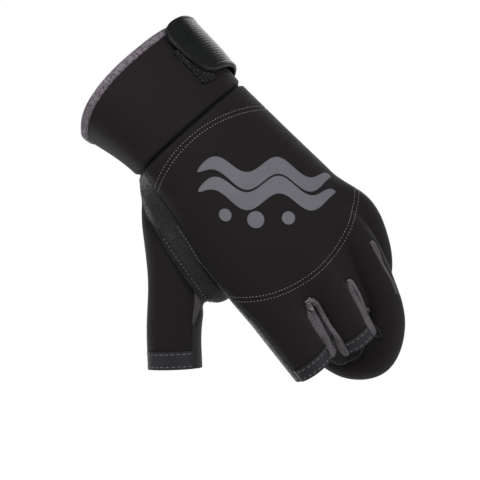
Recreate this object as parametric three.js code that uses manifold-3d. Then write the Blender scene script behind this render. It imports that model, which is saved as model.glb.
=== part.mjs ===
// Three-finger-cut fishing glove for the left hand, in the shape it takes when worn.
// Units are millimetres. The origin is the centre of the wrist opening, +Z runs up the forearm,
// -Y is the back of the hand and -X is the thumb side. The fingers point down.
import * as THREE from "three";
import { mergeVertices } from "three/addons/utils/BufferGeometryUtils.js";
import Module from "manifold-3d";

const wasm = await Module();
wasm.setup();

// Sizes of the whole glove, outside the cloth
const CUFF_WIDTH = 82;
const CUFF_DEPTH = 56;
const CUFF_LENGTH = 39.5;
const WRIST_WIDTH = 77;
const WRIST_DEPTH = 43;
const PALM_WIDTH = 90;
const PALM_DEPTH = 37;
const PALM_LENGTH = 105;

// Cloth
const WALL = 2.4;
const SEAM_GAP = 0.35;
const HEM_WIDTH = 7.6;
const HEM_PROUD = 0.5;
const BINDING_WIDTH = 4.8;
const BINDING_PROUD = 0.7;

// Fingers: length from the knuckle to the end of the cloth, and the widest width and depth
const INDEX = { length: 63, width: 25.6, depth: 25 };
const MIDDLE = { length: 65, width: 24, depth: 25 };
const RING = { length: 92, width: 22.6, depth: 25 };
const LITTLE = { length: 78, width: 20.4, depth: 23 };
const THUMB = { length: 90, width: 28.6, depth: 31 };
const WEB = { length: 36, width: 36, depth: 26 };

// Wrist closure. Lengths along the cuff are shares of its length, and the stand-off is the
// distance from the cuff's cloth.
const TAB_THICKNESS = 1.8;
const TAB_STANDOFF = 2.2;
const PATCH_THICKNESS = 1;
const PATCH_STANDOFF = 0.8;

// Seams on the back of the hand, laid out as seen from a little to the thumb's side
const SEAM_VIEW = THREE.MathUtils.degToRad(-26);
const YOKE_RADIUS = 72;
const PAD_RADIUS = 62.3;
const SIDE_SEAM_SHARE = 0.2;
const THUMB_SEAM_SHARE = 0.41;

// Fineness of the facets
const HAND_SIDES = 28;
const FINGER_SIDES = 14;
const HAND_STEPS = 9;
const FINGER_STEPS = 6;
const CURL_STEPS = 9;
const WEB_STEPS = 3;
const TIP_STEPS = 2;

const WRIST_Z = -CUFF_LENGTH;
const WEB_Z = WRIST_Z - PALM_LENGTH;
const FAR = 2 * (PALM_WIDTH + PALM_LENGTH);

// Where a finger starts, as shares of the palm's width, depth and length
function knuckle(across, palmar, along) {
  return new THREE.Vector3(across * PALM_WIDTH, palmar * PALM_DEPTH, WRIST_Z - along * PALM_LENGTH);
}

// A limb is a row of sections along a curved spine. side is the way its width is measured.
// steps is how many facets run along it. square is the power of its rounded section: 2 is an
// ellipse, and more is squarer.
function limb(points, sizes, side, steps, square = 2) {
  return {
    spine: new THREE.CatmullRomCurve3(points, false, "catmullrom", 0.5),
    girth: new THREE.CatmullRomCurve3(sizes, false, "catmullrom", 0.5),
    side: side.clone().normalize(),
    steps,
    square,
  };
}

// A finger's table: along, across and palmar are shares of its length, from its knuckle.
// wide and deep are shares of its width and depth.
function finger(start, size, side, steps, table) {
  const points = table.map(
    (row) =>
      new THREE.Vector3(
        start.x + row.across * size.length,
        start.y + row.palmar * size.length,
        start.z - row.along * size.length,
      ),
  );
  const sizes = table.map(
    (row) => new THREE.Vector3((row.wide * size.width) / 2, (row.deep * size.depth) / 2, 0),
  );
  return limb(points, sizes, side, steps);
}

// The hand from the wrist opening to the webs. cuff and palm are shares of the lengths of
// those stretches; across and palmar are shares of the palm's width and depth.
const HAND_TABLE = [
  { cuff: 0, palm: 0, across: 0, palmar: 0, width: CUFF_WIDTH, depth: CUFF_DEPTH },
  { cuff: 0.5, palm: 0, across: 0, palmar: -0.19, width: CUFF_WIDTH * 0.965, depth: CUFF_DEPTH * 0.91 },
  { cuff: 1, palm: 0, across: -0.01, palmar: -0.3, width: WRIST_WIDTH, depth: WRIST_DEPTH },
  { cuff: 1, palm: 0.18, across: -0.015, palmar: -0.32, width: WRIST_WIDTH * 1.03, depth: WRIST_DEPTH * 0.98 },
  { cuff: 1, palm: 0.4, across: -0.025, palmar: -0.32, width: PALM_WIDTH * 0.94, depth: PALM_DEPTH * 1.08 },
  { cuff: 1, palm: 0.64, across: -0.03, palmar: -0.3, width: PALM_WIDTH, depth: PALM_DEPTH },
  { cuff: 1, palm: 0.83, across: -0.02, palmar: -0.24, width: PALM_WIDTH, depth: PALM_DEPTH * 0.9 },
  { cuff: 1, palm: 1.03, across: -0.015, palmar: -0.15, width: PALM_WIDTH * 0.9, depth: PALM_DEPTH * 0.5 },
];

const ACROSS = new THREE.Vector3(1, 0, 0);
const hand = limb(
  HAND_TABLE.map(
    (row) =>
      new THREE.Vector3(
        row.across * PALM_WIDTH,
        row.palmar * PALM_DEPTH,
        -row.cuff * CUFF_LENGTH - row.palm * PALM_LENGTH,
      ),
  ),
  HAND_TABLE.map((row) => new THREE.Vector3(row.width / 2, row.depth / 2, 0)),
  ACROSS,
  HAND_STEPS,
  2.4,
);

const index = finger(knuckle(-0.36, -0.25, 0.71), INDEX, ACROSS, FINGER_STEPS, [
  { along: 0, across: 0, palmar: 0, wide: 1.08, deep: 1.08 },
  { along: 0.35, across: -0.045, palmar: 0.02, wide: 1.08, deep: 1.08 },
  { along: 0.67, across: -0.065, palmar: 0.085, wide: 1, deep: 1 },
  { along: 1, across: -0.065, palmar: 0.175, wide: 0.95, deep: 0.92 },
]);

const middle = finger(knuckle(-0.07, -0.39, 0.75), MIDDLE, ACROSS, FINGER_STEPS, [
  { along: 0, across: 0, palmar: 0, wide: 1, deep: 0.96 },
  { along: 0.31, across: 0, palmar: 0.07, wide: 1.04, deep: 1.04 },
  { along: 0.66, across: 0, palmar: 0.17, wide: 1, deep: 0.96 },
  { along: 1, across: 0.01, palmar: 0.3, wide: 0.92, deep: 0.88 },
]);

const CURL_SIDE = new THREE.Vector3(0.9, 0.3, -0.3);
const ring = finger(knuckle(0.235, -0.41, 0.73), RING, CURL_SIDE, CURL_STEPS, [
  { along: 0, across: -0.02, palmar: 0.02, wide: 0.9, deep: 0.85 },
  { along: 0.24, across: 0.02, palmar: 0.025, wide: 1.02, deep: 1.04 },
  { along: 0.52, across: 0.005, palmar: 0.14, wide: 0.98, deep: 1 },
  { along: 0.75, across: -0.045, palmar: 0.285, wide: 0.98, deep: 1 },
  { along: 0.87, across: -0.14, palmar: 0.465, wide: 0.93, deep: 0.92 },
  { along: 0.8, across: -0.225, palmar: 0.605, wide: 0.89, deep: 0.84 },
  { along: 0.61, across: -0.29, palmar: 0.625, wide: 0.81, deep: 0.76 },
]);

const little = finger(knuckle(0.365, -0.335, 0.635), LITTLE, CURL_SIDE, CURL_STEPS, [
  { along: 0, across: -0.09, palmar: 0.04, wide: 0.75, deep: 0.7 },
  { along: 0.28, across: 0.055, palmar: 0.02, wide: 1.02, deep: 1.04 },
  { along: 0.54, across: 0.06, palmar: 0.145, wide: 0.97, deep: 1 },
  { along: 0.73, across: 0, palmar: 0.34, wide: 0.97, deep: 0.96 },
  { along: 0.76, across: -0.095, palmar: 0.56, wide: 0.93, deep: 0.87 },
  { along: 0.6, across: -0.195, palmar: 0.68, wide: 0.88, deep: 0.83 },
  { along: 0.42, across: -0.26, palmar: 0.665, wide: 0.79, deep: 0.74 },
]);

// The thumb's width is measured towards the back of the hand, so its depth faces the fingers
const THUMB_SIDE = new THREE.Vector3(0, -1, 0);
const thumb = finger(knuckle(-0.155, -0.22, -0.015), THUMB, THUMB_SIDE, FINGER_STEPS, [
  { along: 0, across: 0, palmar: 0, wide: 0.8, deep: 0.9 },
  { along: 0.222, across: -0.133, palmar: 0.1, wide: 1.2, deep: 1.24 },
  { along: 0.36, across: -0.216, palmar: 0.167, wide: 1.28, deep: 1.26 },
  { along: 0.606, across: -0.434, palmar: 0.249, wide: 1.09, deep: 1.03 },
  { along: 0.806, across: -0.635, palmar: 0.332, wide: 1.02, deep: 0.93 },
  { along: 1, across: -0.79, palmar: 0.406, wide: 1, deep: 0.92 },
]);

const web = finger(knuckle(-0.22, -0.14, 0.33), WEB, new THREE.Vector3(0.85, 0, 0.5), WEB_STEPS, [
  { along: 0, across: 0, palmar: 0, wide: 1.08, deep: 0.95 },
  { along: 0.6, across: -0.4, palmar: 0.32, wide: 1, deep: 0.95 },
  { along: 0.97, across: -0.62, palmar: 0.4, wide: 0.64, deep: 0.68 },
]);

// Where a limb is at share t of its spine: centre, axes and half sizes
function station(shape, t) {
  const centre = shape.spine.getPoint(t);
  const along = shape.spine.getTangent(t);
  const size = shape.girth.getPoint(t);
  const width = shape.side.clone().addScaledVector(along, -shape.side.dot(along)).normalize();
  const depth = new THREE.Vector3().crossVectors(width, along).normalize();
  return { centre, along, width, depth, halfWidth: size.x, halfDepth: size.y };
}

// A point of a section, from its centre, at an angle from +width towards +depth
function onSection(place, angle, halfWidth, halfDepth, square) {
  const power = 2 / square;
  const c = Math.cos(angle);
  const s = Math.sin(angle);
  return place.centre
    .clone()
    .addScaledVector(place.width, Math.sign(c) * Math.abs(c) ** power * halfWidth)
    .addScaledVector(place.depth, Math.sign(s) * Math.abs(s) ** power * halfDepth);
}

// A closed solid through rings of points, with flat ends
function skin(rings) {
  const count = rings[0].length;
  const positions = rings.flat().flatMap((p) => [p.x, p.y, p.z]);
  const faces = [];
  for (let r = 0; r + 1 < rings.length; r++) {
    for (let i = 0; i < count; i++) {
      const a = r * count + i;
      const b = r * count + ((i + 1) % count);
      faces.push(a, b, b + count, a, b + count, a + count);
    }
  }
  for (const end of [0, rings.length - 1]) {
    const middlePoint = rings[end]
      .reduce((sum, p) => sum.add(p), new THREE.Vector3())
      .divideScalar(count);
    const hub = positions.length / 3;
    positions.push(middlePoint.x, middlePoint.y, middlePoint.z);
    for (let i = 0; i < count; i++) {
      const a = end * count + i;
      const b = end * count + ((i + 1) % count);
      faces.push(...(end === 0 ? [hub, b, a] : [hub, a, b]));
    }
  }
  const geometry = new THREE.BufferGeometry();
  geometry.setAttribute("position", new THREE.Float32BufferAttribute(positions, 3));
  geometry.setIndex(faces);
  return toSolid(geometry);
}

function toSolid(geometry) {
  const bare = geometry.clone();
  bare.deleteAttribute("normal");
  bare.deleteAttribute("uv");
  const merged = mergeVertices(bare, 1e-5);
  const vertProperties = Float32Array.from(merged.attributes.position.array);
  const triVerts = Uint32Array.from(merged.index.array);
  if (signedVolume(vertProperties, triVerts) < 0) {
    for (let i = 0; i < triVerts.length; i += 3) {
      [triVerts[i], triVerts[i + 1]] = [triVerts[i + 1], triVerts[i]];
    }
  }
  return new wasm.Manifold(new wasm.Mesh({ numProp: 3, vertProperties, triVerts }));
}

function signedVolume(vertices, triangles) {
  let sum = 0;
  const corner = (i) => new THREE.Vector3().fromArray(vertices, 3 * triangles[i]);
  for (let i = 0; i < triangles.length; i += 3) {
    sum += corner(i).dot(corner(i + 1).cross(corner(i + 2)));
  }
  return sum / 6;
}

// The outside of a limb, or its inside where grow is negative. before and after lengthen its
// ends, and a round tip closes the far end with a dome.
function tube(
  shape,
  { grow = 0, sides = FINGER_SIDES, steps = shape.steps, from = 0, to = 1, before = 0, after = 0, tip = false },
) {
  const rings = [];
  const ringAt = (place, shrink) => {
    const points = [];
    for (let i = 0; i < sides; i++) {
      const angle = (2 * Math.PI * i) / sides;
      points.push(
        onSection(
          place,
          angle,
          (place.halfWidth + grow) * shrink,
          (place.halfDepth + grow) * shrink,
          shape.square,
        ),
      );
    }
    return points;
  };
  const moved = (place, distance) => ({
    ...place,
    centre: place.centre.clone().addScaledVector(place.along, distance),
  });
  if (before > 0) {
    rings.push(ringAt(moved(station(shape, from), -before), 1));
  }
  for (let k = 0; k <= steps; k++) {
    rings.push(ringAt(station(shape, from + ((to - from) * k) / steps), 1));
  }
  const end = station(shape, to);
  if (tip) {
    const reach = Math.min(end.halfWidth, end.halfDepth) + grow;
    for (let k = 1; k <= TIP_STEPS; k++) {
      const angle = (Math.PI / 2) * (k / (TIP_STEPS + 0.4));
      rings.push(ringAt(moved(end, reach * Math.sin(angle)), Math.cos(angle)));
    }
  } else if (after > 0) {
    rings.push(ringAt(moved(end, after), 1));
  }
  return skin(rings);
}

// A cutter that follows a limb. corners gives the section's corners as pairs of shares:
// across the half width, and through the half depth.
function follower(shape, corners, { from = 0, before = 0, after = 0 }) {
  const { steps } = shape;
  const first = Math.round(from * steps);
  const rings = [];
  const ringAt = (t, distance) => {
    const place = station(shape, t);
    return corners.map(([across, through]) =>
      place.centre
        .clone()
        .addScaledVector(place.along, distance)
        .addScaledVector(place.width, across * place.halfWidth)
        .addScaledVector(place.depth, through * place.halfDepth),
    );
  };
  if (before > 0) {
    rings.push(ringAt(first / steps, -before));
  }
  for (let k = first; k <= steps; k++) {
    rings.push(ringAt(k / steps, 0));
  }
  if (after > 0) {
    rings.push(ringAt(1, after));
  }
  return skin(rings);
}

// A cutter between two neighbouring fingers, from spine to spine
function between(left, right, { leftFrom, leftTo, rightFrom, rightTo, dorsal, palmar, steps }) {
  const rings = [];
  const ringAt = (share, distance) => {
    const a = station(left, leftFrom + (leftTo - leftFrom) * share);
    const b = station(right, rightFrom + (rightTo - rightFrom) * share);
    const at = (place, through) =>
      place.centre
        .clone()
        .addScaledVector(place.along, distance)
        .addScaledVector(place.depth, through * place.halfDepth);
    return [at(a, dorsal), at(b, dorsal), at(b, palmar), at(a, palmar)];
  };
  for (let k = 0; k <= steps; k++) {
    rings.push(ringAt(k / steps, 0));
  }
  rings.push(ringAt(1, CLEAR));
  return skin(rings);
}

function union(solids) {
  return solids.reduce((sum, solid) => sum.add(solid));
}

function block(low, high) {
  const size = new THREE.Vector3().subVectors(high, low);
  const geometry = new THREE.BoxGeometry(size.x, size.y, size.z);
  geometry.translate((low.x + high.x) / 2, (low.y + high.y) / 2, (low.z + high.z) / 2);
  return toSolid(geometry);
}

// Everything below a height, or above it
function below(z) {
  return block(new THREE.Vector3(-FAR, -FAR, z - FAR), new THREE.Vector3(FAR, FAR, z));
}
function above(z) {
  return block(new THREE.Vector3(-FAR, -FAR, z), new THREE.Vector3(FAR, FAR, z + FAR));
}

// An outline of the seam view, cut through the glove along that view, as far as a depth
function throughView(outline, depth = FAR) {
  const geometry = new THREE.ExtrudeGeometry(outline, {
    depth: FAR + depth,
    bevelEnabled: false,
    curveSegments: 24,
  });
  geometry.translate(0, 0, -FAR);
  const across = new THREE.Vector3(Math.cos(SEAM_VIEW), Math.sin(SEAM_VIEW), 0);
  const away = new THREE.Vector3(-Math.sin(SEAM_VIEW), Math.cos(SEAM_VIEW), 0);
  geometry.applyMatrix4(new THREE.Matrix4().makeBasis(across, new THREE.Vector3(0, 0, 1), away));
  return toSolid(geometry);
}

// The two arc seams across the back: where each one's crest is, and which way it bulges
const ARCS = {
  yoke: { across: 0, along: 0.052, radius: YOKE_RADIUS, bulge: 1 },
  pad: { across: 0.06, along: 0.95, radius: PAD_RADIUS, bulge: -1 },
};

// The inside of an arc seam. spread widens it by that distance.
function arcField(arc, spread) {
  const outline = new THREE.Shape();
  const height = WRIST_Z - arc.along * PALM_LENGTH - arc.bulge * arc.radius;
  outline.absarc(arc.across * PALM_WIDTH, height, arc.radius + spread, 0, 2 * Math.PI);
  return throughView(outline, 0.75 * PALM_DEPTH);
}

// Everything on one side of a seam that runs down the hand: towards is 1 for the little
// finger's side and -1 for the thumb's
function sideField(seam, towards, spread) {
  const outline = new THREE.Shape();
  const points = STRIP_TABLE.map(
    (row) =>
      new THREE.Vector2(
        row[seam] * PALM_WIDTH - towards * spread,
        WRIST_Z - row.along * PALM_LENGTH,
      ),
  );
  outline.setFromPoints([
    new THREE.Vector2(towards * FAR, points[0].y),
    ...points,
    new THREE.Vector2(towards * FAR, points[points.length - 1].y),
  ]);
  return throughView(outline);
}

// The leather strip between the back of the hand and the thumb: where its two seams run, as
// shares of the palm's width, at shares of the palm's length below the wrist seam
const STRIP_TABLE = [
  { along: -0.2, back: -0.34, thumb: -0.4 },
  { along: 0, back: -0.353, thumb: -0.42 },
  { along: 0.18, back: -0.383, thumb: -0.526 },
  { along: 0.4, back: -0.441, thumb: -0.581 },
  { along: 0.6, back: -0.489, thumb: -0.603 },
  { along: 0.7, back: -0.51, thumb: -0.617 },
  { along: 0.8, back: -0.6, thumb: -0.617 },
  { along: 1.8, back: -0.6, thumb: -0.617 },
];

const CLEAR = 4;

function body(grow, overrun) {
  const handEnd = 1 + grow / hand.spine.getLength();
  return union([
    tube(hand, { sides: HAND_SIDES, grow, to: handEnd, before: overrun }),
    tube(web, { grow }),
    tube(thumb, { grow, after: overrun }),
    tube(index, { grow, after: overrun }),
    tube(middle, { grow, after: overrun }),
    tube(ring, { grow, tip: true }),
    tube(little, { grow, tip: true }),
  ]);
}

// The share of a spine at a distance from its start, or from its end where it is negative
function shareAt(shape, distance) {
  const share = distance / shape.spine.getLength();
  return shape.spine.getUtoTmapping(share < 0 ? 1 + share : share);
}

const shell = body(0, 0).subtract(body(-WALL, CLEAR));
const HALF_GAP = SEAM_GAP / 2;
const cuffShell = shell.intersect(above(WRIST_Z + HALF_GAP));
const handShell = shell.intersect(below(WRIST_Z - HALF_GAP));

// Cuff and the binding round its rim
const bindingEnd = shareAt(hand, BINDING_WIDTH);
const cuff = cuffShell.subtract(
  tube(hand, {
    sides: HAND_SIDES,
    steps: 1,
    grow: CLEAR,
    to: shareAt(hand, BINDING_WIDTH + SEAM_GAP),
    before: CLEAR,
  }),
);
const binding = tube(hand, { sides: HAND_SIDES, steps: 2, grow: BINDING_PROUD, to: bindingEnd }).subtract(
  tube(hand, { sides: HAND_SIDES, steps: 2, grow: -WALL, to: 2 * bindingEnd, before: CLEAR }),
);

// The back of a limb, as far round as the side seams
function dorsalOf(shape, spread, { across, ...ends }) {
  const deepest = Math.max(...shape.girth.points.map((size) => size.y));
  const edge = SIDE_SEAM_SHARE + spread / deepest;
  const corners = [
    [-across, -1.5],
    [across, -1.5],
    [across, edge],
    [-across, edge],
  ];
  return follower(shape, corners, ends);
}

const WRIST_SHARE = 2 / (HAND_TABLE.length - 1);
const fingers = [index, middle, ring, little];
function dorsal(spread) {
  return union([
    dorsalOf(hand, spread, { across: 1.3, from: WRIST_SHARE, before: 2 * CLEAR }),
    ...fingers.map((shape) => dorsalOf(shape, spread, { across: 1.25, after: 4 * CLEAR })),
  ]);
}

// Knit strips between the fingers
const FORKS = {
  fourchette_index_middle: {
    left: index,
    right: middle,
    reach: { leftFrom: 0.35, leftTo: 1, rightFrom: 0.35, rightTo: 1, dorsal: -0.4, palmar: 0.5 },
  },
  fourchette_middle_ring: {
    left: middle,
    right: ring,
    reach: { leftFrom: 0.4, leftTo: 1, rightFrom: 0.18, rightTo: 0.49, dorsal: -0.4, palmar: 0.5 },
  },
  fourchette_ring_little: {
    left: ring,
    right: little,
    reach: { leftFrom: 0.17, leftTo: 0.62, rightFrom: 0.28, rightTo: 0.66, dorsal: -0.35, palmar: 0.5 },
  },
};

function forkField({ left, right, reach }, spread) {
  const share = spread / (MIDDLE.depth / 2);
  return between(left, right, {
    ...reach,
    leftFrom: reach.leftFrom - spread / MIDDLE.length,
    rightFrom: reach.rightFrom - spread / MIDDLE.length,
    dorsal: reach.dorsal - share,
    palmar: reach.palmar + share,
    steps: FINGER_STEPS,
  });
}

const forkFields = union(
  Object.values(FORKS).map((fork) => forkField(fork, SEAM_GAP).add(forkField(fork, 0))),
);
const thumbSide = sideField("thumb", -1, 0);
const thumbSideWide = sideField("thumb", -1, SEAM_GAP);
const backSide = sideField("back", 1, 0);
const backSideWide = sideField("back", 1, SEAM_GAP);

// Bands over the cut ends of the fingers, standing proud of the cloth
function hemOf(shape, width, back) {
  const start = shareAt(shape, -width);
  const band = tube(shape, { steps: 2, from: start, grow: HEM_PROUD });
  const hollow = tube(shape, { steps: 3, from: start - 0.1, grow: -WALL, after: CLEAR });
  return band.subtract(hollow).intersect(back);
}
function hemField(shape, width) {
  const start = shareAt(shape, -width - SEAM_GAP);
  return tube(shape, { steps: 2, from: start, grow: 2 * HEM_PROUD, after: CLEAR });
}

// Back of the hand and of the fingers
const backNarrow = dorsal(-SEAM_GAP);
const back = handShell
  .intersect(backNarrow)
  .intersect(backSide)
  .subtract(thumbSideWide)
  .subtract(forkFields)
  .subtract(hemField(index, HEM_WIDTH).add(hemField(middle, HEM_WIDTH)));
const wristward = above(WRIST_Z - 0.5 * PALM_LENGTH);
const yoke = back.intersect(wristward).subtract(arcField(ARCS.yoke, SEAM_GAP));
const belowYoke = back.subtract(wristward.subtract(arcField(ARCS.yoke, 0)));
const pad = belowYoke.intersect(arcField(ARCS.pad, 0));
const fingerBacks = belowYoke.subtract(arcField(ARCS.pad, SEAM_GAP));
const indexHem = hemOf(index, HEM_WIDTH, backNarrow).subtract(forkFields);
const middleHem = hemOf(middle, HEM_WIDTH, backNarrow).subtract(forkFields);

// Thumb: cloth over its back and outer side, leather on the side that grips
function thumbCloth(spread) {
  const edge = THUMB_SEAM_SHARE + spread / (THUMB.depth / 2);
  const back = -0.2 - spread / (THUMB.width / 2);
  const corners = [
    [1.6, edge],
    [1.6, -1.6],
    [back, -1.6],
    [back, edge],
  ];
  return follower(thumb, corners, { before: 6 * CLEAR, after: 3 * CLEAR });
}
// The knit wedge beside the thumb cloth: where it runs, and how far round it reaches
const GUSSET_TABLE = [
  { at: 0.56, reach: 0.8 },
  { at: 0.69, reach: 0.66 },
  { at: 0.82, reach: 0.5 },
];
function gussetField(spread) {
  const share = spread / (THUMB.depth / 2);
  const last = GUSSET_TABLE.length - 1;
  return skin(
    GUSSET_TABLE.map((row, k) => {
      const overrun = (k === last ? 1 : k - 1) * (spread / THUMB.length);
      const place = station(thumb, row.at + overrun);
      const edge = THUMB_SEAM_SHARE - share;
      const far = row.reach + share;
      return [
        [0.2, edge],
        [1.5, edge],
        [1.5, far],
        [0.2, far],
      ].map(([across, through]) =>
        place.centre
          .clone()
          .addScaledVector(place.width, across * place.halfWidth)
          .addScaledVector(place.depth, through * place.halfDepth),
      );
    }),
  );
}
const THUMB_HEM_WIDTH = 1.25 * HEM_WIDTH;
const thumbShell = handShell.intersect(thumbSide);
const thumbBack = thumbShell
  .intersect(thumbCloth(-SEAM_GAP))
  .subtract(hemField(thumb, THUMB_HEM_WIDTH));
const thumbHem = hemOf(thumb, THUMB_HEM_WIDTH, thumbCloth(-SEAM_GAP));
const thumbPalm = thumbShell
  .subtract(thumbCloth(0))
  .subtract(gussetField(SEAM_GAP).add(gussetField(0)));
const gusset = thumbShell.subtract(thumbCloth(0)).intersect(gussetField(0));

// Palm with the strip between back and thumb, and the palm side of the fingers. They part at
// the crease of the fingers, a share of the palm's length below the wrist seam.
const FINGER_CREASE = 0.72;
const grip = handShell
  .subtract(dorsal(0).add(backNarrow).intersect(backSideWide.add(backSide)))
  .subtract(thumbSideWide)
  .subtract(forkFields);
const creaseZ = WRIST_Z - FINGER_CREASE * PALM_LENGTH;
const palm = grip.intersect(above(creaseZ + HALF_GAP));
const fingerPalms = grip.intersect(below(creaseZ - HALF_GAP));

// Wrist closure. turn is the angle round the cuff in degrees: -90 is the middle of the back
// and 0 the little finger's side. centre and half are shares of the cuff's length.
const TAB_TABLE = [
  { turn: -77, centre: 0.38, half: 0.23 },
  { turn: -74.5, centre: 0.38, half: 0.3 },
  { turn: -70, centre: 0.38, half: 0.345 },
  { turn: -64, centre: 0.385, half: 0.36 },
  { turn: -48, centre: 0.395, half: 0.36 },
  { turn: -32, centre: 0.405, half: 0.36 },
  { turn: -16, centre: 0.41, half: 0.36 },
  { turn: 0, centre: 0.42, half: 0.36 },
  { turn: 16, centre: 0.425, half: 0.36 },
  { turn: 32, centre: 0.43, half: 0.36 },
  { turn: 48, centre: 0.44, half: 0.36 },
  { turn: 62, centre: 0.45, half: 0.36 },
];
const PATCH_TABLE = [
  { turn: -82, centre: 0.5, half: 0.24 },
  { turn: -78, centre: 0.5, half: 0.31 },
  { turn: -60, centre: 0.51, half: 0.32 },
  { turn: -42, centre: 0.52, half: 0.32 },
  { turn: -24, centre: 0.52, half: 0.32 },
];

// A flat band that lies round the cuff
function strap(table, standoff, thickness, columns) {
  return skin(
    table.map((row) => {
      const points = [];
      for (const [grow, direction] of [
        [standoff + thickness, 1],
        [standoff, -1],
      ]) {
        for (let i = 0; i <= columns; i++) {
          const share = row.centre + direction * row.half * ((2 * i) / columns - 1);
          const place = station(hand, share * WRIST_SHARE);
          const turn = THREE.MathUtils.degToRad(row.turn);
          points.push(
            onSection(place, turn, place.halfWidth + grow, place.halfDepth + grow, hand.square),
          );
        }
      }
      return points;
    }),
  );
}
const tab = strap(TAB_TABLE, TAB_STANDOFF, TAB_THICKNESS, 4);
const patch = strap(PATCH_TABLE, PATCH_STANDOFF, PATCH_THICKNESS, 3);

const colours = {
  neoprene: { color: 0x1d1a1b, roughness: 0.75, metalness: 0 },
  leather: { color: 0x23262a, roughness: 0.6, metalness: 0 },
  knit: { color: 0x6d6770, roughness: 0.85, metalness: 0 },
  binding: { color: 0x696068, roughness: 0.85, metalness: 0 },
  strap: { color: 0x1f2422, roughness: 0.5, metalness: 0 },
  patch: { color: 0x2b2b2c, roughness: 0.95, metalness: 0 },
};

// The largest closed body of a solid, without the crumbs a seam leaves in a corner
function largest(triangles, count) {
  const parent = Array.from({ length: count }, (_, i) => i);
  const rootOf = (i) => {
    while (parent[i] !== i) {
      i = parent[i];
    }
    return i;
  };
  for (let i = 0; i < triangles.length; i += 3) {
    parent[rootOf(triangles[i + 1])] = rootOf(triangles[i]);
    parent[rootOf(triangles[i + 2])] = rootOf(triangles[i]);
  }
  const tally = new Map();
  for (let i = 0; i < triangles.length; i += 3) {
    const owner = rootOf(triangles[i]);
    tally.set(owner, (tally.get(owner) ?? 0) + 1);
  }
  const [best] = [...tally.entries()].sort((a, b) => b[1] - a[1])[0];
  const kept = [];
  for (let i = 0; i < triangles.length; i += 3) {
    if (rootOf(triangles[i]) === best) {
      kept.push(triangles[i], triangles[i + 1], triangles[i + 2]);
    }
  }
  return kept;
}

function mesh(name, solid, finish) {
  const { vertProperties, triVerts, numProp } = solid.getMesh();
  const positions = [];
  for (let i = 0; i < vertProperties.length; i += numProp) {
    positions.push(vertProperties[i], vertProperties[i + 1], vertProperties[i + 2]);
  }
  const geometry = new THREE.BufferGeometry();
  geometry.setAttribute("position", new THREE.Float32BufferAttribute(positions, 3));
  geometry.setIndex(largest(Array.from(triVerts), positions.length / 3));
  const made = new THREE.Mesh(geometry, new THREE.MeshStandardMaterial(finish));
  made.name = name;
  return made;
}

const glove = new THREE.Group();
glove.add(mesh("cuff", cuff, colours.neoprene));
glove.add(mesh("cuff_binding", binding, colours.binding));
glove.add(mesh("back_yoke", yoke, colours.neoprene));
glove.add(mesh("back_pad", pad, colours.neoprene));
glove.add(mesh("finger_backs", fingerBacks, colours.neoprene));
glove.add(mesh("palm", palm, colours.leather));
glove.add(mesh("finger_palms", fingerPalms, colours.leather));
glove.add(mesh("thumb_back", thumbBack, colours.neoprene));
glove.add(mesh("thumb_palm", thumbPalm, colours.leather));
glove.add(mesh("thumb_gusset", gusset, colours.knit));
glove.add(mesh("thumb_hem", thumbHem, colours.leather));
glove.add(mesh("index_hem", indexHem, colours.leather));
glove.add(mesh("middle_hem", middleHem, colours.leather));
for (const [name, fork] of Object.entries(FORKS)) {
  glove.add(mesh(name, handShell.intersect(forkField(fork, 0)), colours.knit));
}
glove.add(mesh("wrist_tab", tab, colours.strap));
glove.add(mesh("tab_patch", patch, colours.patch));

export default glove;
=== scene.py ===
"""Looks of the fishing glove: panels, seams, stitching, wrist strap and materials around the CAD frame."""
import math
from collections import namedtuple

import bpy
import numpy as np
from mathutils import Matrix, Vector


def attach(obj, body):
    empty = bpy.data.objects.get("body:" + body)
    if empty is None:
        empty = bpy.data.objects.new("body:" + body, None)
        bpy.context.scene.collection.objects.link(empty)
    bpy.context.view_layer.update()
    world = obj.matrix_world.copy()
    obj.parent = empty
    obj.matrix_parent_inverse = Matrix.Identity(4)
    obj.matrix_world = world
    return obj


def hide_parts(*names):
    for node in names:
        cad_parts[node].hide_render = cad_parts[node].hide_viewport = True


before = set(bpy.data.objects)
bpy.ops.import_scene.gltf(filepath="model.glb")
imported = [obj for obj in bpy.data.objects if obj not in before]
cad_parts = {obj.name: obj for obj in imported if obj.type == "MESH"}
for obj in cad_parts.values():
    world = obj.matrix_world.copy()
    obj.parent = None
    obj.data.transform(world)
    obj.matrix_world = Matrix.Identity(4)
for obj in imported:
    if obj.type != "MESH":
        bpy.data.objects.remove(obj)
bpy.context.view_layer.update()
MM = 0.001

# Sizes in millimetres, as in the CAD model
CUFF_WIDTH, CUFF_DEPTH, CUFF_LENGTH = 82, 56, 39.5
WRIST_WIDTH, WRIST_DEPTH = 77, 43
PALM_WIDTH, PALM_DEPTH, PALM_LENGTH = 90, 37, 105
WALL = 2.4
HEM_WIDTH = 7.6
BINDING_WIDTH = 4.8
HEMS = {"index": HEM_WIDTH, "middle": HEM_WIDTH, "thumb": 1.25 * HEM_WIDTH}
CELL = 1.15
END_SPARE = 4  # how far the surface is made past an open end before it is cut there
WRIST_Z = -CUFF_LENGTH
FAR = 40.0  # stands for every distance that is too large to matter

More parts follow.
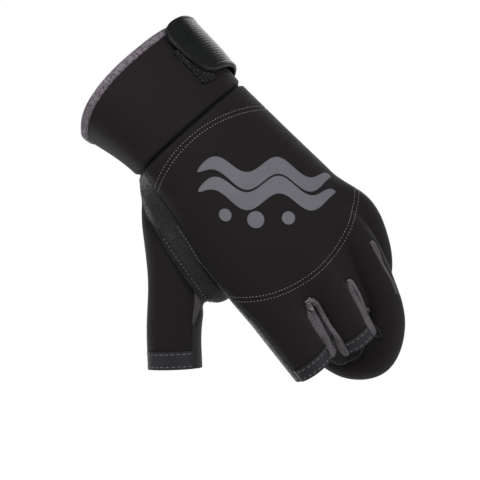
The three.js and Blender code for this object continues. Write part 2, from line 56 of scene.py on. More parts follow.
# Camera
AZIMUTH, ROLL = math.radians(-26), math.radians(43)
LENS, SENSOR, DISTANCE = 128.25, 36, 900
TARGET = np.array([-19.2, -2.15, -100])
TO_CAMERA = np.array([math.sin(AZIMUTH), -math.cos(AZIMUTH), 0])
LEVEL_SIDE = np.array([math.cos(AZIMUTH), math.sin(AZIMUTH), 0])
LEVEL_UP = np.cross(TO_CAMERA, LEVEL_SIDE)
IMAGE_RIGHT = LEVEL_SIDE * math.cos(ROLL) - LEVEL_UP * math.sin(ROLL)
IMAGE_UP = LEVEL_SIDE * math.sin(ROLL) + LEVEL_UP * math.cos(ROLL)
PICTURE_SIZE = 480


def seen_at(points):
    """Where the camera sees points: across and down in pixels of the picture."""
    offset = points - (TARGET + TO_CAMERA * DISTANCE)
    scale = LENS / SENSOR * PICTURE_SIZE / -(offset @ TO_CAMERA)
    half = PICTURE_SIZE / 2
    return np.stack([half + (offset @ IMAGE_RIGHT) * scale, half - (offset @ IMAGE_UP) * scale], -1)


def make_camera():
    data = bpy.data.cameras.new("camera")
    data.lens, data.sensor_width = LENS, SENSOR
    data.clip_start, data.clip_end = 0.05, 20
    camera = bpy.data.objects.new("camera", data)
    turn = Matrix((IMAGE_RIGHT, IMAGE_UP, TO_CAMERA)).transposed().to_4x4()
    camera.matrix_world = Matrix.Translation((TARGET + TO_CAMERA * DISTANCE) * MM) @ turn
    bpy.context.collection.objects.link(camera)
    bpy.context.scene.camera = camera


# Limbs
def catmull(rows, count):
    rows = np.array(rows, float)
    last = len(rows) - 1
    padded = np.vstack([2 * rows[0] - rows[1], rows, 2 * rows[-1] - rows[-2]])
    at = np.linspace(0, last, count + 1)
    i = np.minimum(at.astype(int), last - 1)
    t = (at - i)[:, None]
    p0, p1, p2, p3 = padded[i], padded[i + 1], padded[i + 2], padded[i + 3]
    return 0.5 * (
        2 * p1 + (p2 - p0) * t + (2 * p0 - 5 * p1 + 4 * p2 - p3) * t**2 + (3 * p1 - p0 - 3 * p2 + p3) * t**3
    )


def unit(v):
    return v / np.maximum(np.linalg.norm(v, axis=-1, keepdims=True), 1e-9)


def arc_lengths(points):
    return np.concatenate([[0], np.cumsum(np.linalg.norm(np.diff(points, axis=0), axis=1))])


class Limb:
    """A row of rounded sections along a curved spine: x, y, z, half width and half depth."""

    def __init__(self, rows, side, square=2.0, domed=False, count=72):
        self.rows = catmull(rows, count)
        self.square, self.domed = square, domed
        self.centre = self.rows[:, :3]
        self.along = unit(np.gradient(self.centre, axis=0))
        side = np.array(side, float)
        side = side / np.linalg.norm(side)
        self.width = unit(side - self.along * (self.along @ side)[:, None])
        self.depth = np.cross(self.width, self.along)
        self.arc = arc_lengths(self.centre)
        self.length = self.arc[-1]

    def nearest(self, points):
        """The number of the nearest spine point: every fourth one first, then those around it."""
        last = len(self.centre) - 1
        best = np.full(len(points), 1e18)
        index = np.zeros(len(points), int)
        for k in range(0, last + 1, 4):
            d = ((points - self.centre[k]) ** 2).sum(1)
            closer = d < best
            best[closer], index[closer] = d[closer], k
        middle = index.copy()
        for step in (-3, -2, -1, 1, 2, 3):
            k = np.clip(middle + step, 0, last)
            d = ((points - self.centre[k]) ** 2).sum(1)
            closer = d < best
            best[closer], index[closer] = d[closer], k[closer]
        return index

    def local(self, points):
        """Per point: how far across and through, the arc length, and the half sizes there."""
        index = self.nearest(points)
        ahead = ((points - self.centre[index]) * self.along[index]).sum(1)
        last = len(self.centre) - 1
        at = np.clip(index + ahead / (self.length / last), 0, last)
        i = np.minimum(at.astype(int), last - 1)
        t = (at - i)[:, None]

        def mix(a):
            return a[i] * (1 - t) + a[i + 1] * t

        offset = points - mix(self.centre)
        across, through, over = (
            (offset * unit(mix(axis))).sum(1) for axis in (self.width, self.depth, self.along))
        size = mix(self.rows[:, 3:5])
        arc = mix(self.arc[:, None])[:, 0] + over
        return {"across": across, "through": through, "arc": arc, "hw": size[:, 0], "hd": size[:, 1]}

    def field(self, q):
        """About the distance outside the limb's surface, in millimetres."""
        p = self.square
        half = np.minimum(q["hw"], q["hd"])
        beyond = np.maximum(np.maximum(q["arc"] - self.length, -q["arc"]), 0) * self.domed
        shares = np.abs([q["across"] / q["hw"], q["through"] / q["hd"], beyond / half])
        r = (shares**p).sum(0) ** (1 / p)
        size = np.sqrt(q["across"] ** 2 + q["through"] ** 2 + beyond**2)
        return np.where(r < 0.2, -half * (1 - r), size * (1 - 1 / np.maximum(r, 1e-3)))

    def place(self, arc):
        """Centre, axes across and through, and half sizes at an arc length."""
        at = np.interp(arc, self.arc, np.arange(len(self.arc)))
        i = np.minimum(int(at), len(self.arc) - 2)
        t = at - i
        centre, width, depth, row = (
            a[i] * (1 - t) + a[i + 1] * t for a in (self.centre, self.width, self.depth, self.rows))
        return centre, unit(width), unit(depth), row[3:5]

    def arc_at(self, share):
        """The arc length at a share of the spine's steps."""
        return np.interp(share * (len(self.arc) - 1), np.arange(len(self.arc)), self.arc)

    def surface(self, arc, angle, grow=0.0):
        """The point of the surface at an arc length and an angle from +width towards +depth."""
        centre, width, depth, size = self.place(arc)
        c, s, p = math.cos(angle), math.sin(angle), 2 / self.square
        a = math.copysign(abs(c) ** p, c) * (size[0] + grow)
        b = math.copysign(abs(s) ** p, s) * (size[1] + grow)
        return centre + width * a + depth * b


def knuckle(across, palmar, along):
    return np.array([across * PALM_WIDTH, palmar * PALM_DEPTH, WRIST_Z - along * PALM_LENGTH])


def finger(start, length, width, depth, side, table, domed=False):
    rows = [
        (start[0] + across * length, start[1] + palmar * length, start[2] - along * length,
         wide * width / 2, deep * depth / 2)
        for along, across, palmar, wide, deep in table
    ]
    return Limb(rows, side, domed=domed)


HAND_ROWS = [
    (0, 0, 0, 0, CUFF_WIDTH, CUFF_DEPTH),
    (0.5, 0, 0, -0.19, CUFF_WIDTH * 0.965, CUFF_DEPTH * 0.91),
    (1, 0, -0.01, -0.3, WRIST_WIDTH, WRIST_DEPTH),
    (1, 0.18, -0.015, -0.32, WRIST_WIDTH * 1.03, WRIST_DEPTH * 0.98),
    (1, 0.4, -0.025, -0.32, PALM_WIDTH * 0.94, PALM_DEPTH * 1.08),
    (1, 0.64, -0.03, -0.3, PALM_WIDTH, PALM_DEPTH),
    (1, 0.83, -0.02, -0.24, PALM_WIDTH, PALM_DEPTH * 0.9),
    (1, 1.03, -0.015, -0.15, PALM_WIDTH * 0.9, PALM_DEPTH * 0.5),
]
hand = Limb(
    [(across * PALM_WIDTH, palmar * PALM_DEPTH, -cuff * CUFF_LENGTH - palm * PALM_LENGTH, width / 2, depth / 2)
     for cuff, palm, across, palmar, width, depth in HAND_ROWS],
    (1, 0, 0), square=2.4, count=140,
)
index = finger(knuckle(-0.36, -0.25, 0.71), 63, 25.6, 25, (1, 0, 0), [
    (0, 0, 0, 1.08, 1.08), (0.35, -0.045, 0.02, 1.08, 1.08), (0.67, -0.065, 0.085, 1, 1),
    (1, -0.065, 0.175, 0.95, 0.92)])
middle = finger(knuckle(-0.07, -0.39, 0.75), 65, 24, 25, (1, 0, 0), [
    (0, 0, 0, 1, 0.96), (0.31, 0, 0.07, 1.04, 1.04), (0.66, 0, 0.17, 1, 0.96), (1, 0.01, 0.3, 0.92, 0.88)])
CURL_SIDE = (0.9, 0.3, -0.3)
ring = finger(knuckle(0.235, -0.41, 0.73), 92, 22.6, 25, CURL_SIDE, [
    (0, -0.02, 0.02, 0.9, 0.85), (0.24, 0.02, 0.025, 1.02, 1.04), (0.52, 0.005, 0.14, 0.98, 1),
    (0.75, -0.045, 0.285, 0.98, 1), (0.87, -0.14, 0.465, 0.93, 0.92), (0.8, -0.225, 0.605, 0.89, 0.84),
    (0.61, -0.29, 0.625, 0.81, 0.76)], domed=True)
little = finger(knuckle(0.365, -0.335, 0.635), 78, 20.4, 23, CURL_SIDE, [
    (0, -0.09, 0.04, 0.75, 0.7), (0.28, 0.055, 0.02, 1.02, 1.04), (0.54, 0.06, 0.145, 0.97, 1),
    (0.73, 0, 0.34, 0.97, 0.96), (0.76, -0.095, 0.56, 0.93, 0.87), (0.6, -0.195, 0.68, 0.88, 0.83),
    (0.42, -0.26, 0.665, 0.79, 0.74)], domed=True)
thumb = finger(knuckle(-0.155, -0.22, -0.015), 90, 28.6, 31, (0, -1, 0), [
    (0, 0, 0, 0.8, 0.9), (0.222, -0.133, 0.1, 1.2, 1.24), (0.36, -0.216, 0.167, 1.28, 1.26),
    (0.606, -0.434, 0.249, 1.09, 1.03), (0.806, -0.635, 0.332, 1.02, 0.93), (1, -0.79, 0.406, 1, 0.92)])
web = finger(knuckle(-0.22, -0.14, 0.33), 36, 36, 26, (0.85, 0, 0.5), [
    (0, 0, 0, 1.08, 0.95), (0.6, -0.4, 0.32, 1, 0.95), (0.97, -0.62, 0.4, 0.64, 0.68)], domed=True)
FINGERS = {"index": index, "middle": middle, "ring": ring, "little": little}
LIMBS = {"hand": hand, "web": web, "thumb": thumb, **FINGERS}


def crotch(left, right, left_span, right_span, palmar, half_depths):
    """The fold that joins two fingers at their bases and sinks away between them."""
    rows, sides = [], []
    for share, half_depth in zip(np.linspace(0, 1, len(half_depths)), half_depths):
        a, _, depth, _ = left.place(left.arc_at(np.interp(share, (0, 1), left_span)))
        b = right.place(right.arc_at(np.interp(share, (0, 1), right_span)))[0]
        sides.append(b - a)
        rows.append((*((a + b) / 2 + depth * palmar), np.linalg.norm(b - a) * 0.34, half_depth))
    return Limb(rows, sides[0], domed=True, count=24)


CROTCHES = {
    "index_middle": crotch(index, middle, (0.16, 0.8), (0.14, 0.76), 1.5, (11, 9.5, 6.5, 5)),
    "middle_ring": crotch(middle, ring, (0.16, 0.8), (0.02, 0.36), 1.0, (11.5, 10.5, 7.5, 5)),
    "ring_little": crotch(ring, little, (0.1, 0.34), (0.2, 0.46), 1.0, (8, 7, 6, 5)),
}


# How wide each limb blends into those before it, in millimetres
PALM_BLENDS = {"web": 7.0, "thumb": 4.5}
FINGER_BLENDS = {"middle": 1.0, "ring": 1.0, "little": 0.8, **dict.fromkeys(CROTCHES, 1.6)}
KNUCKLE_BLEND = 6.0


def smooth_min(a, b, k):
    h = np.clip(0.5 + 0.5 * (b - a) / k, 0, 1)
    return b * (1 - h) + a * h - k * h * (1 - h)


def limb_fields(points):
    """The distance to each limb by name."""
    f = {}
    for name, limb in {**LIMBS, **CROTCHES}.items():
        margin = limb.rows[:, 3:5].max() + 16
        low, high = limb.centre.min(0) - margin, limb.centre.max(0) + margin
        near = ((points > low) & (points < high)).all(1)
        f[name] = np.full(len(points), FAR)
        if near.any():
            q = limb.local(points[near])
            value = limb.field(q)
            if not limb.domed:
                spare = END_SPARE if limb is hand else limb.rows[0, 3]
                value = np.max([value, q["arc"] - limb.length - END_SPARE, -q["arc"] - spare], 0)
            f[name][near] = value
    f["hand"] = np.maximum(f["hand"], (points - hand.centre[-1]) @ hand.along[-1])
    return f


def glove_field(points):
    """One distance from those to the limbs, with each limb blended into the next."""
    f = limb_fields(points)
    palm_part, fingers = f["hand"], f["index"]
    for name, width in PALM_BLENDS.items():
        palm_part = smooth_min(palm_part, f[name], width)
    for name, width in FINGER_BLENDS.items():
        fingers = smooth_min(fingers, f[name], width)
    return smooth_min(palm_part, fingers, KNUCKLE_BLEND)


# Meshes as arrays
def surface_nets(field, low, high, cell):
    """A mesh of a field's zero level, as points and triangles. A coarse grid finds the cells near it."""
    counts = np.ceil((high - low) / cell).astype(int) + 1
    axes = [low[i] + cell * np.arange(counts[i]) for i in range(3)]
    grid = np.stack(np.meshgrid(*axes, indexing="ij"), -1).reshape(-1, 3)
    coarse = 4 * cell
    rough_axes = [np.arange(low[i], high[i] + coarse, coarse) for i in range(3)]
    rough = np.stack(np.meshgrid(*rough_axes, indexing="ij"), -1)
    shape = rough.shape[:3]
    nearest = np.clip(np.rint((grid - low) / coarse).astype(int), 0, np.array(shape) - 1)
    guess = field(rough.reshape(-1, 3)).reshape(shape)[tuple(nearest.T)]
    value = np.where(guess > 0, FAR, -FAR)
    close = np.abs(guess) < 3.4 * coarse
    value[close] = field(grid[close])
    value = value.reshape(counts)
    inside = value < 0
    n = counts - 1
    total = sum(inside[i:i + n[0], j:j + n[1], k:k + n[2]].astype(int) for i, j, k in np.ndindex(2, 2, 2))
    cells = np.argwhere((total > 0) & (total < 8))
    number = np.full(n, -1)
    number[tuple(cells.T)] = np.arange(len(cells))
    sums, hits = np.zeros((len(cells), 3)), np.zeros(len(cells))
    for corner in np.ndindex(2, 2, 2):
        for axis in np.nonzero(np.array(corner) == 0)[0]:
            step = np.eye(3, dtype=int)[axis]
            start, stop = value[tuple((cells + corner).T)], value[tuple((cells + corner + step).T)]
            cross = (start < 0) != (stop < 0)
            t = np.where(cross, start / np.where(cross, start - stop, 1), 0)
            sums[cross] += (np.array(corner, float) + t[:, None] * step)[cross]
            hits[cross] += 1
    points = low + cell * (cells + sums / hits[:, None])
    triangles = []
    for axis in range(3):
        others = [(axis + 1) % 3, (axis + 2) % 3]
        here = inside[tuple(slice(0, counts[i] - (i == axis)) for i in range(3))]
        there = inside[tuple(slice(int(i == axis), counts[i]) for i in range(3))]
        edges = np.argwhere(here != there)
        edges = edges[((edges[:, others] > 0) & (edges[:, others] < n[others])).all(1)]
        quad = []
        for move in ((-1, -1), (0, -1), (0, 0), (-1, 0)):
            beside = edges.copy()
            beside[:, others] += move
            quad.append(number[tuple(beside.T)])
        quad = np.array(quad).T
        flip = ~inside[tuple(edges.T)]
        quad[flip] = quad[flip][:, ::-1]
        triangles += [quad[:, [0, 1, 2]], quad[:, [0, 2, 3]]]
    return points, np.vstack(triangles)


def gradient(field, points, h=0.25):
    return np.stack([(field(points + step) - field(points - step)) / (2 * h) for step in h * np.eye(3)], 1)


def edges_of(triangles):
    return np.vstack([triangles[:, [0, 1]], triangles[:, [1, 2]], triangles[:, [2, 0]]])


def neighbours_mean(points, triangles):
    """Each point's mean over its neighbours."""
    pairs = np.unique(np.sort(edges_of(triangles), 1), axis=0)
    total, count = np.zeros_like(points), np.zeros(len(points))
    for here, there in (pairs.T, pairs.T[::-1]):
        for i in range(3):
            total[:, i] += np.bincount(here, points[there, i], len(points))
        count += np.bincount(here, minlength=len(points))
    return total / np.maximum(count, 1)[:, None]


class Sheet:
    """Triangles whose points carry named columns: place, normal, dip and the seam distances."""

    def __init__(self, columns, triangles):
        self.columns, self.triangles = columns, triangles

    def __getitem__(self, name):
        return self.columns[name]

    def of(self, limb, keys):
        """A limb's columns, by the ends of their names."""
        return [self.columns[f"{limb}_{key}"] for key in keys.split()]

    def compact(self):
        used, inverse = np.unique(self.triangles, return_inverse=True)
        columns = {name: value[used] for name, value in self.columns.items()}
        return Sheet(columns, inverse.reshape(-1, 3))

    def split(self, level, dip=0.0, reach=1.4, gap=0.06):
        """The sheets where level is above and below zero, sunk and parted along their seam."""
        sheet = self
        if dip:
            for at in (-1.4 * reach, -0.6 * reach, 0.6 * reach, 1.4 * reach):
                sheet, level = sheet.score(level, at)
            sheet.columns["dip"] = np.maximum(sheet["dip"], dip * np.exp(-((level / reach) ** 2)))
        above = sheet.clip(level - gap)
        below = sheet.clip(-level - gap)
        return above, below

    def score(self, level, at):
        """The same sheet with points along a line of level, and the level there."""
        self.columns["level"] = level
        above, below = self.clip(level - at), self.clip(at - level)
        count = len(above["level"])
        columns = {name: np.concatenate([value, below[name]]) for name, value in above.columns.items()}
        triangles = np.vstack([above.triangles, below.triangles + count])
        shared = np.nonzero(np.abs(columns["level"] - at) < 1e-6)[0]
        keys = np.round(columns["place"][shared], 5)
        _, first, group = np.unique(keys, axis=0, return_index=True, return_inverse=True)
        merged = np.arange(len(columns["level"]))
        merged[shared] = shared[first[group.reshape(-1)]]
        sheet = Sheet(columns, merged[triangles]).compact()
        del self.columns["level"]
        return sheet, sheet.columns.pop("level")

    def between(self, ends, level=None):
        """The columns with a point added between each two ends, half way or where level is zero."""
        pairs, where = np.unique(np.sort(ends, 1), axis=0, return_inverse=True)
        a, b = pairs.T
        t = np.full(len(a), 0.5) if level is None else level[a] / (level[a] - level[b])
        columns = {}
        for name, value in self.columns.items():
            share = t[:, None] if value.ndim > 1 else t
            columns[name] = np.concatenate([value, value[a] + share * (value[b] - value[a])])
        return columns, len(self["place"]) + where.reshape(-1)

    def clip(self, level):
        """The sheet where level is above zero."""
        level = np.where(np.abs(level) < 1e-5, 1e-5, level)
        inside = level > 0
        tri = self.triangles
        hits = inside[tri].sum(1)
        mixed = tri[(hits == 1) | (hits == 2)]
        lone_in = inside[mixed].sum(1) == 1
        lone = np.argmax(inside[mixed] == lone_in[:, None], 1)
        turned = np.stack([mixed[np.arange(len(mixed)), (lone + k) % 3] for k in range(3)], 1)
        columns, new = self.between(np.vstack([turned[:, [0, 1]], turned[:, [0, 2]]]), level)
        ab, ac = np.split(new, 2)
        a, b, c = turned.T
        tip = np.stack([a, ab, ac], 1)
        rest = np.vstack([np.stack([ab, b, c], 1), np.stack([ab, c, ac], 1)])
        kept = np.vstack([tri[hits == 3], tip[lone_in], rest[~np.tile(lone_in, 2)]])
        return Sheet(columns, kept).compact()

    def refine(self):
        """Each triangle cut in four."""
        columns, new = self.between(edges_of(self.triangles))
        ab, bc, ca = np.split(new, 3)
        a, b, c = self.triangles.T
        parts = ((a, ab, ca), (ab, b, bc), (ca, bc, c), (ab, bc, ca))
        return Sheet(columns, np.vstack([np.stack(part, 1) for part in parts]))

    def lines(self, level):
        """The zero lines of level, as runs of places and normals."""
        inside = level > 0
        hits = inside[self.triangles].sum(1)
        links, spots = {}, {}
        for corners in self.triangles[(hits == 1) | (hits == 2)]:
            pairs = [tuple(sorted((corners[i], corners[j]))) for i, j in ((0, 1), (1, 2), (2, 0))]
            keys = [(a, b) for a, b in pairs if inside[a] != inside[b]]
            for a, b in keys:
                t = level[a] / (level[a] - level[b])
                spots[a, b] = [self[name][a] * (1 - t) + self[name][b] * t for name in ("place", "normal")]
            for key, other in (keys, keys[::-1]):
                links.setdefault(key, []).append(other)
        runs, seen = [], set()
        for start in sorted(links, key=lambda k: (len(links[k]), k)):
            run, onward = [], [start] if start not in seen else []
            while onward:
                run.append(onward[0])
                seen.add(onward[0])
                onward = [key for key in links[run[-1]] if key not in seen]
            if len(run) > 3:
                places, normals = np.array([spots[key] for key in run]).transpose(1, 0, 2)
                runs.append((places, unit(normals)))
        return runs


# The glove's skin


SKIN_BOX = np.array([(-104.0, -44, -218), (52, 66, 16)])
def make_skin():
    """The whole outer surface, with each point's place on every limb."""
    points, triangles = surface_nets(glove_field, *SKIN_BOX, CELL)
    for turn in range(3):
        slope = gradient(glove_field, points)
        steep = np.maximum((slope**2).sum(1), 0.1)
        points = points - slope * (glove_field(points) / steep)[:, None]
        if turn < 2:
            normal = unit(slope)
            move = neighbours_mean(points, triangles) - points
            points = points + 0.5 * (move - normal * (move * normal).sum(1)[:, None])
    columns = {"place": points, "normal": unit(gradient(glove_field, points)), "dip": np.zeros(len(points))}
    for name, limb in LIMBS.items():
        columns.update({f"{name}_{key}": value for key, value in limb.local(points).items()})
    for name, distance in limb_fields(points).items():
        columns[f"{name}_off"] = distance
    return Sheet(columns, triangles)


# The strip seams: share of the palm's length, then the back's and the thumb's seam in palm widths
STRIP_TABLE = np.array([
    (-0.2, -0.3, -0.4), (0, -0.322, -0.42), (0.18, -0.355, -0.495), (0.4, -0.395, -0.54),
    (0.6, -0.445, -0.572), (0.7, -0.49, -0.585), (0.8, -0.6, -0.585), (1.8, -0.6, -0.617)])
BACK_SEAM, THUMB_SEAM = 1, 2
YOKE_CIRCLE = (0.0, WRIST_Z - 0.052 * PALM_LENGTH - 72, 72)
PAD_CIRCLE = (0.06 * PALM_WIDTH, WRIST_Z - 0.95 * PALM_LENGTH + 62.3, 62.3)
SIDE_SEAM_SHARE, INDEX_SEAM_SHARE = 0.2, -0.15
THUMB_SEAM_SHARE, THUMB_SIDE_SHARE = 0.41, 0.2


def strip_seam(sheet, seam):
    """A strip seam's place in the seam view at each point's height."""
    heights = STRIP_TABLE[:, 0] * PALM_LENGTH - WRIST_Z
    return np.interp(-sheet["place"][:, 2], heights, STRIP_TABLE[:, seam] * PALM_WIDTH)


def view_x(sheet):
    """The place across in the seam view, which is the camera's view held upright."""
    return sheet["place"] @ LEVEL_SIDE


def outside(sheet, circle):
    """The distance outside a circle of the seam view."""
    return np.hypot(view_x(sheet) - circle[0], sheet["place"][:, 2] - circle[1]) - circle[2]


def outside_pad(sheet):
    """The distance outside the pad's circle, which doesn't reach the curled fingertips."""
    level = outside(sheet, PAD_CIRCLE)
    for name in ("ring", "little"):
        curled = np.where(sheet[f"{name}_off"] < 3, sheet[f"{name}_arc"] - 0.45 * LIMBS[name].length, -9)
        level = np.maximum(level, curled)
    return level


def back_level(sheet):
    """Above zero on the back of the hand and fingers, in millimetres."""
    names = ["hand", "index", "middle", "ring", "little"]
    offs = np.array([sheet[f"{n}_off"] for n in names])
    weight = np.exp(-(offs - offs.min(0)) / 2)
    weight /= weight.sum(0)
    shares = {"index": np.where(sheet["index_across"] < 0, INDEX_SEAM_SHARE, SIDE_SEAM_SHARE)}
    sides = np.array([shares.get(n, SIDE_SEAM_SHARE) * sheet[f"{n}_hd"] - sheet[f"{n}_through"] for n in names])
    around = (weight * sides).sum(0)
    return np.minimum(around, view_x(sheet) - strip_seam(sheet, BACK_SEAM))


# A knit strip's side lies on a finger between two shares of its spine, from dorsal half depths down.
# Its outline is in picture pixels, and its rolled edge is roll pixels wide and bulge millimetres high.
Side = namedtuple("Side", "finger towards begin end dorsal bulge")
Fork = namedtuple("Fork", "crotch sides outline roll bulge")
FORKS = {
    "fourchette_index_middle": Fork(
        "index_middle", (Side("index", 1, 0.38, 1, -0.62, 2.3), Side("middle", -1, 0.4, 1, -0.3, 0)),
        ((304.5, 302), (306, 299), (309.5, 297.6), (314, 298.5), (318.5, 302.2), (325.4, 315), (332.5, 327),
         (339.5, 336), (348.5, 351), (354, 362), (333, 362), (329, 352), (321.4, 336), (315.6, 324.5),
         (308, 311)), 5.4, 1.6),
    "fourchette_middle_ring": Fork(
        "middle_ring", (Side("middle", 1, 0.54, 1, -0.2, 0), Side("ring", -1, 0.33, 0.49, 0.3, 0)),
        ((347, 283), (347, 280), (349.3, 278.6), (352.4, 280), (359.5, 292), (364, 303), (368.2, 314),
         (372.3, 324.5), (378.6, 336.5), (373.6, 336.5), (366.2, 325), (361.6, 314), (356.6, 303.5),
         (351, 293)), 3.4, 0.9),
    "fourchette_ring_little": Fork(
        "ring_little", (Side("ring", 1, 0.26, 0.62, 0.0, 0), Side("little", -1, 0.3, 0.66, -0.2, 0)),
        ((370.2, 243.5), (370.4, 240.8), (372.4, 240.4), (374.8, 242.6), (379.2, 251), (382.4, 261.6),
         (387.8, 272), (393.8, 282.6), (397.5, 293), (396, 295), (392, 283), (385.8, 272.2), (380, 262),
         (374.4, 252)), 2.2, 0.6),
}
PIXEL_MM = 0.53  # the picture's scale at the glove


def inside_outline(sheet, fork):
    """How far inside the strip's outline in the picture each point is seen, in pixels."""
    at = seen_at(sheet["place"])
    corners = np.array(fork.outline)
    nearest = np.full(len(at), 1e9)
    crossings = np.zeros(len(at), int)
    for a, b in zip(corners, np.roll(corners, -1, axis=0)):
        share = np.clip((at - a) @ (b - a) / ((b - a) @ (b - a)), 0, 1)
        nearest = np.minimum(nearest, np.linalg.norm(at - a - share[:, None] * (b - a), axis=1))
        if a[1] == b[1]:
            continue
        meets = a[0] + (at[:, 1] - a[1]) * (b[0] - a[0]) / (b[1] - a[1])
        crossings += ((a[1] > at[:, 1]) != (b[1] > at[:, 1])) & (at[:, 0] < meets)
    return np.where(crossings % 2 == 1, nearest, -nearest)


def fork_level(sheet, fork):
    """Above zero on the knit strip between two fingers: where it is seen, and down between them."""
    crotch_off = sheet[f"{fork.crotch}_off"]
    offs = np.min([crotch_off] + [sheet[f"{side.finger}_off"] for side in fork.sides], 0)
    facing = (sheet["normal"] @ TO_CAMERA + 0.1) * 8
    levels = [np.min([inside_outline(sheet, fork) * PIXEL_MM, facing, 5 - offs], 0)]
    for side in fork.sides:
        across, through, deep, arc, off = sheet.of(side.finger, "across through hd arc off")
        begin, end = (LIMBS[side.finger].arc_at(share) for share in (side.begin, side.end))
        levels.append(np.min([
            through - side.dorsal * deep, 0.5 * deep - through, arc - begin,
            end - arc + END_SPARE * (side.end == 1), side.towards * across,
            2 - np.minimum(off, crotch_off)], 0))
    return np.max(levels, 0)


SPARE_LENGTH = {"index": 2.2, "middle": 1.6, "thumb": 2.6}  # how much shorter the cloth is than the limb


def to_end(sheet, name):
    return LIMBS[name].length - SPARE_LENGTH[name] - sheet[f"{name}_arc"]


def cut_panels(whole):
    """The panels by name, each a sheet with its seams sunk."""
    panels = {}
    whole = whole.clip(sheet_end(whole))
    cuff, rest = whole.split(whole["place"][:, 2] - WRIST_Z, dip=2.2, reach=1.05, gap=0.18)
    panels["cuff"], _ = cuff.split(cuff["hand_arc"] - BINDING_WIDTH, dip=0.15)
    thumb_side, rest = rest.split(strip_seam(rest, THUMB_SEAM) - view_x(rest), dip=1.3, reach=2.6)
    across, through, wide, deep = thumb_side.of("thumb", "across through hw hd")
    cloth = np.minimum(THUMB_SEAM_SHARE * deep - through, across + THUMB_SIDE_SHARE * wide)
    thumb_back, thumb_palm = thumb_side.split(cloth, dip=0.45)
    panels["thumb_back"], panels["thumb_hem"] = thumb_back.split(
        to_end(thumb_back, "thumb") - HEMS["thumb"], dip=0.1)
    panels["thumb_gusset"], panels["thumb_palm"] = thumb_palm.split(gusset_level(thumb_palm), dip=0.3)
    for name, fork in FORKS.items():
        panels[name], rest = rest.split(fork_level(rest, fork), dip=0.35, reach=1.0)
    back, panels["palm"] = rest.split(back_level(rest), dip=0.45)
    for name in ("index", "middle"):
        near = np.where(back[f"{name}_off"] < 3, to_end(back, name) - HEMS[name], 20)
        back, panels[f"{name}_hem"] = back.split(near, dip=0.1)
    yoke = np.minimum(outside(back, YOKE_CIRCLE), back["place"][:, 2] - WRIST_Z + 0.5 * PALM_LENGTH)
    panels["back_yoke"], back = back.split(yoke, dip=0.12, gap=0.03)
    panels["back_pad"], panels["finger_backs"] = back.split(-outside_pad(back), dip=0.12, gap=0.03)
    return panels


def sheet_end(whole):
    """Above zero on all but the caps over the cuff's rim and the cut fingers' ends."""
    level = whole["hand_arc"].copy()
    for name in ("index", "middle", "thumb"):
        near = (whole[f"{name}_off"] < 2) & (whole[f"{name}_arc"] > 0.6 * LIMBS[name].length)
        level = np.where(near, np.minimum(level, to_end(whole, name)), level)
    return level


GUSSET_REACH = ((0.5, 0.62, 0.78), (1.15, 0.95, 0.5))  # shares of the thumb's length, half depths there


def gusset_level(sheet):
    """Above zero on the knit wedge at the thumb's crotch."""
    across, through, wide, deep, arc = sheet.of("thumb", "across through hw hd arc")
    at = arc / thumb.length
    first, _, last = GUSSET_REACH[0]
    reach = np.interp(at, *GUSSET_REACH)
    return np.min([
        (reach - THUMB_SEAM_SHARE) * deep - np.abs(through - THUMB_SEAM_SHARE * deep),
        across - THUMB_SIDE_SHARE * wide, (at - first) * thumb.length, (last - at) * thumb.length], 0)


def solid(name, sheet, thickness=WALL, proud=0.0, marks=None):
    """A panel with its thickness, as a mesh object. marks are values that its material reads."""
    outer = sheet["place"] + sheet["normal"] * (proud - sheet["dip"])[:, None]
    inner = sheet["place"] - sheet["normal"] * thickness
    tri, n = sheet.triangles, len(outer)
    edges = edges_of(tri)
    _, first, count = np.unique(np.sort(edges, 1) @ (n, 1), return_index=True, return_counts=True)
    rim = edges[first[count == 1]]
    a, b = rim.T
    walls = np.vstack([np.stack([b, a, a + n], 1), np.stack([b, a + n, b + n], 1)])
    obj = mesh_object(name, np.vstack([outer, inner]), np.vstack([tri, tri[:, ::-1] + n, walls]))
    pairs = np.zeros(2 * len(obj.data.edges), int)
    obj.data.edges.foreach_get("vertices", pairs)
    sharp = np.isin(np.sort(pairs.reshape(-1, 2), 1) @ (2 * n, 1),
                    np.sort(np.vstack([rim, rim + n]), 1) @ (2 * n, 1))
    obj.data.attributes.new("sharp_edge", "BOOLEAN", "EDGE").data.foreach_set("value", sharp)
    # The seam's sink depth also goes to the materials, which use it to paint shade into the seams.
    for mark, values in {"groove_shade": sheet["dip"], **(marks or {})}.items():
        layer = obj.data.attributes.new(mark, "FLOAT", "POINT")
        layer.data.foreach_set("value", np.tile(values, 2).astype(np.float32))
    return obj


def mesh_object(name, points, faces):
    """A smooth mesh object from millimetre points and triangle or quad rows."""
    points, faces = np.asarray(points, float), np.asarray(faces, int)
    mesh = bpy.data.meshes.new(name)
    mesh.vertices.add(len(points))
    mesh.vertices.foreach_set("co", (points * MM).ravel())
    mesh.loops.add(faces.size)
    mesh.loops.foreach_set("vertex_index", faces.ravel())
    mesh.polygons.add(len(faces))
    mesh.polygons.foreach_set("loop_start", np.arange(0, faces.size, faces.shape[1]))
    mesh.polygons.foreach_set("use_smooth", np.full(len(faces), True))
    mesh.update()
    mesh.validate()
    obj = bpy.data.objects.new(name, mesh)
    bpy.context.collection.objects.link(obj)
    return obj


# Bands on the cuff
BINDING_PROFILE = (  # arc from the rim, and how far outside the cloth
    (4.8, 0.0), (4.65, 0.42), (4.2, 0.68), (3.0, 0.8), (1.6, 0.82), (0.6, 0.62), (0.08, 0.0), (-0.05, -0.8),
    (0.0, -1.7), (0.35, -2.5), (1.1, -2.95), (2.6, -3.05), (4.3, -2.95), (4.8, -2.5), (4.8, -1.2))


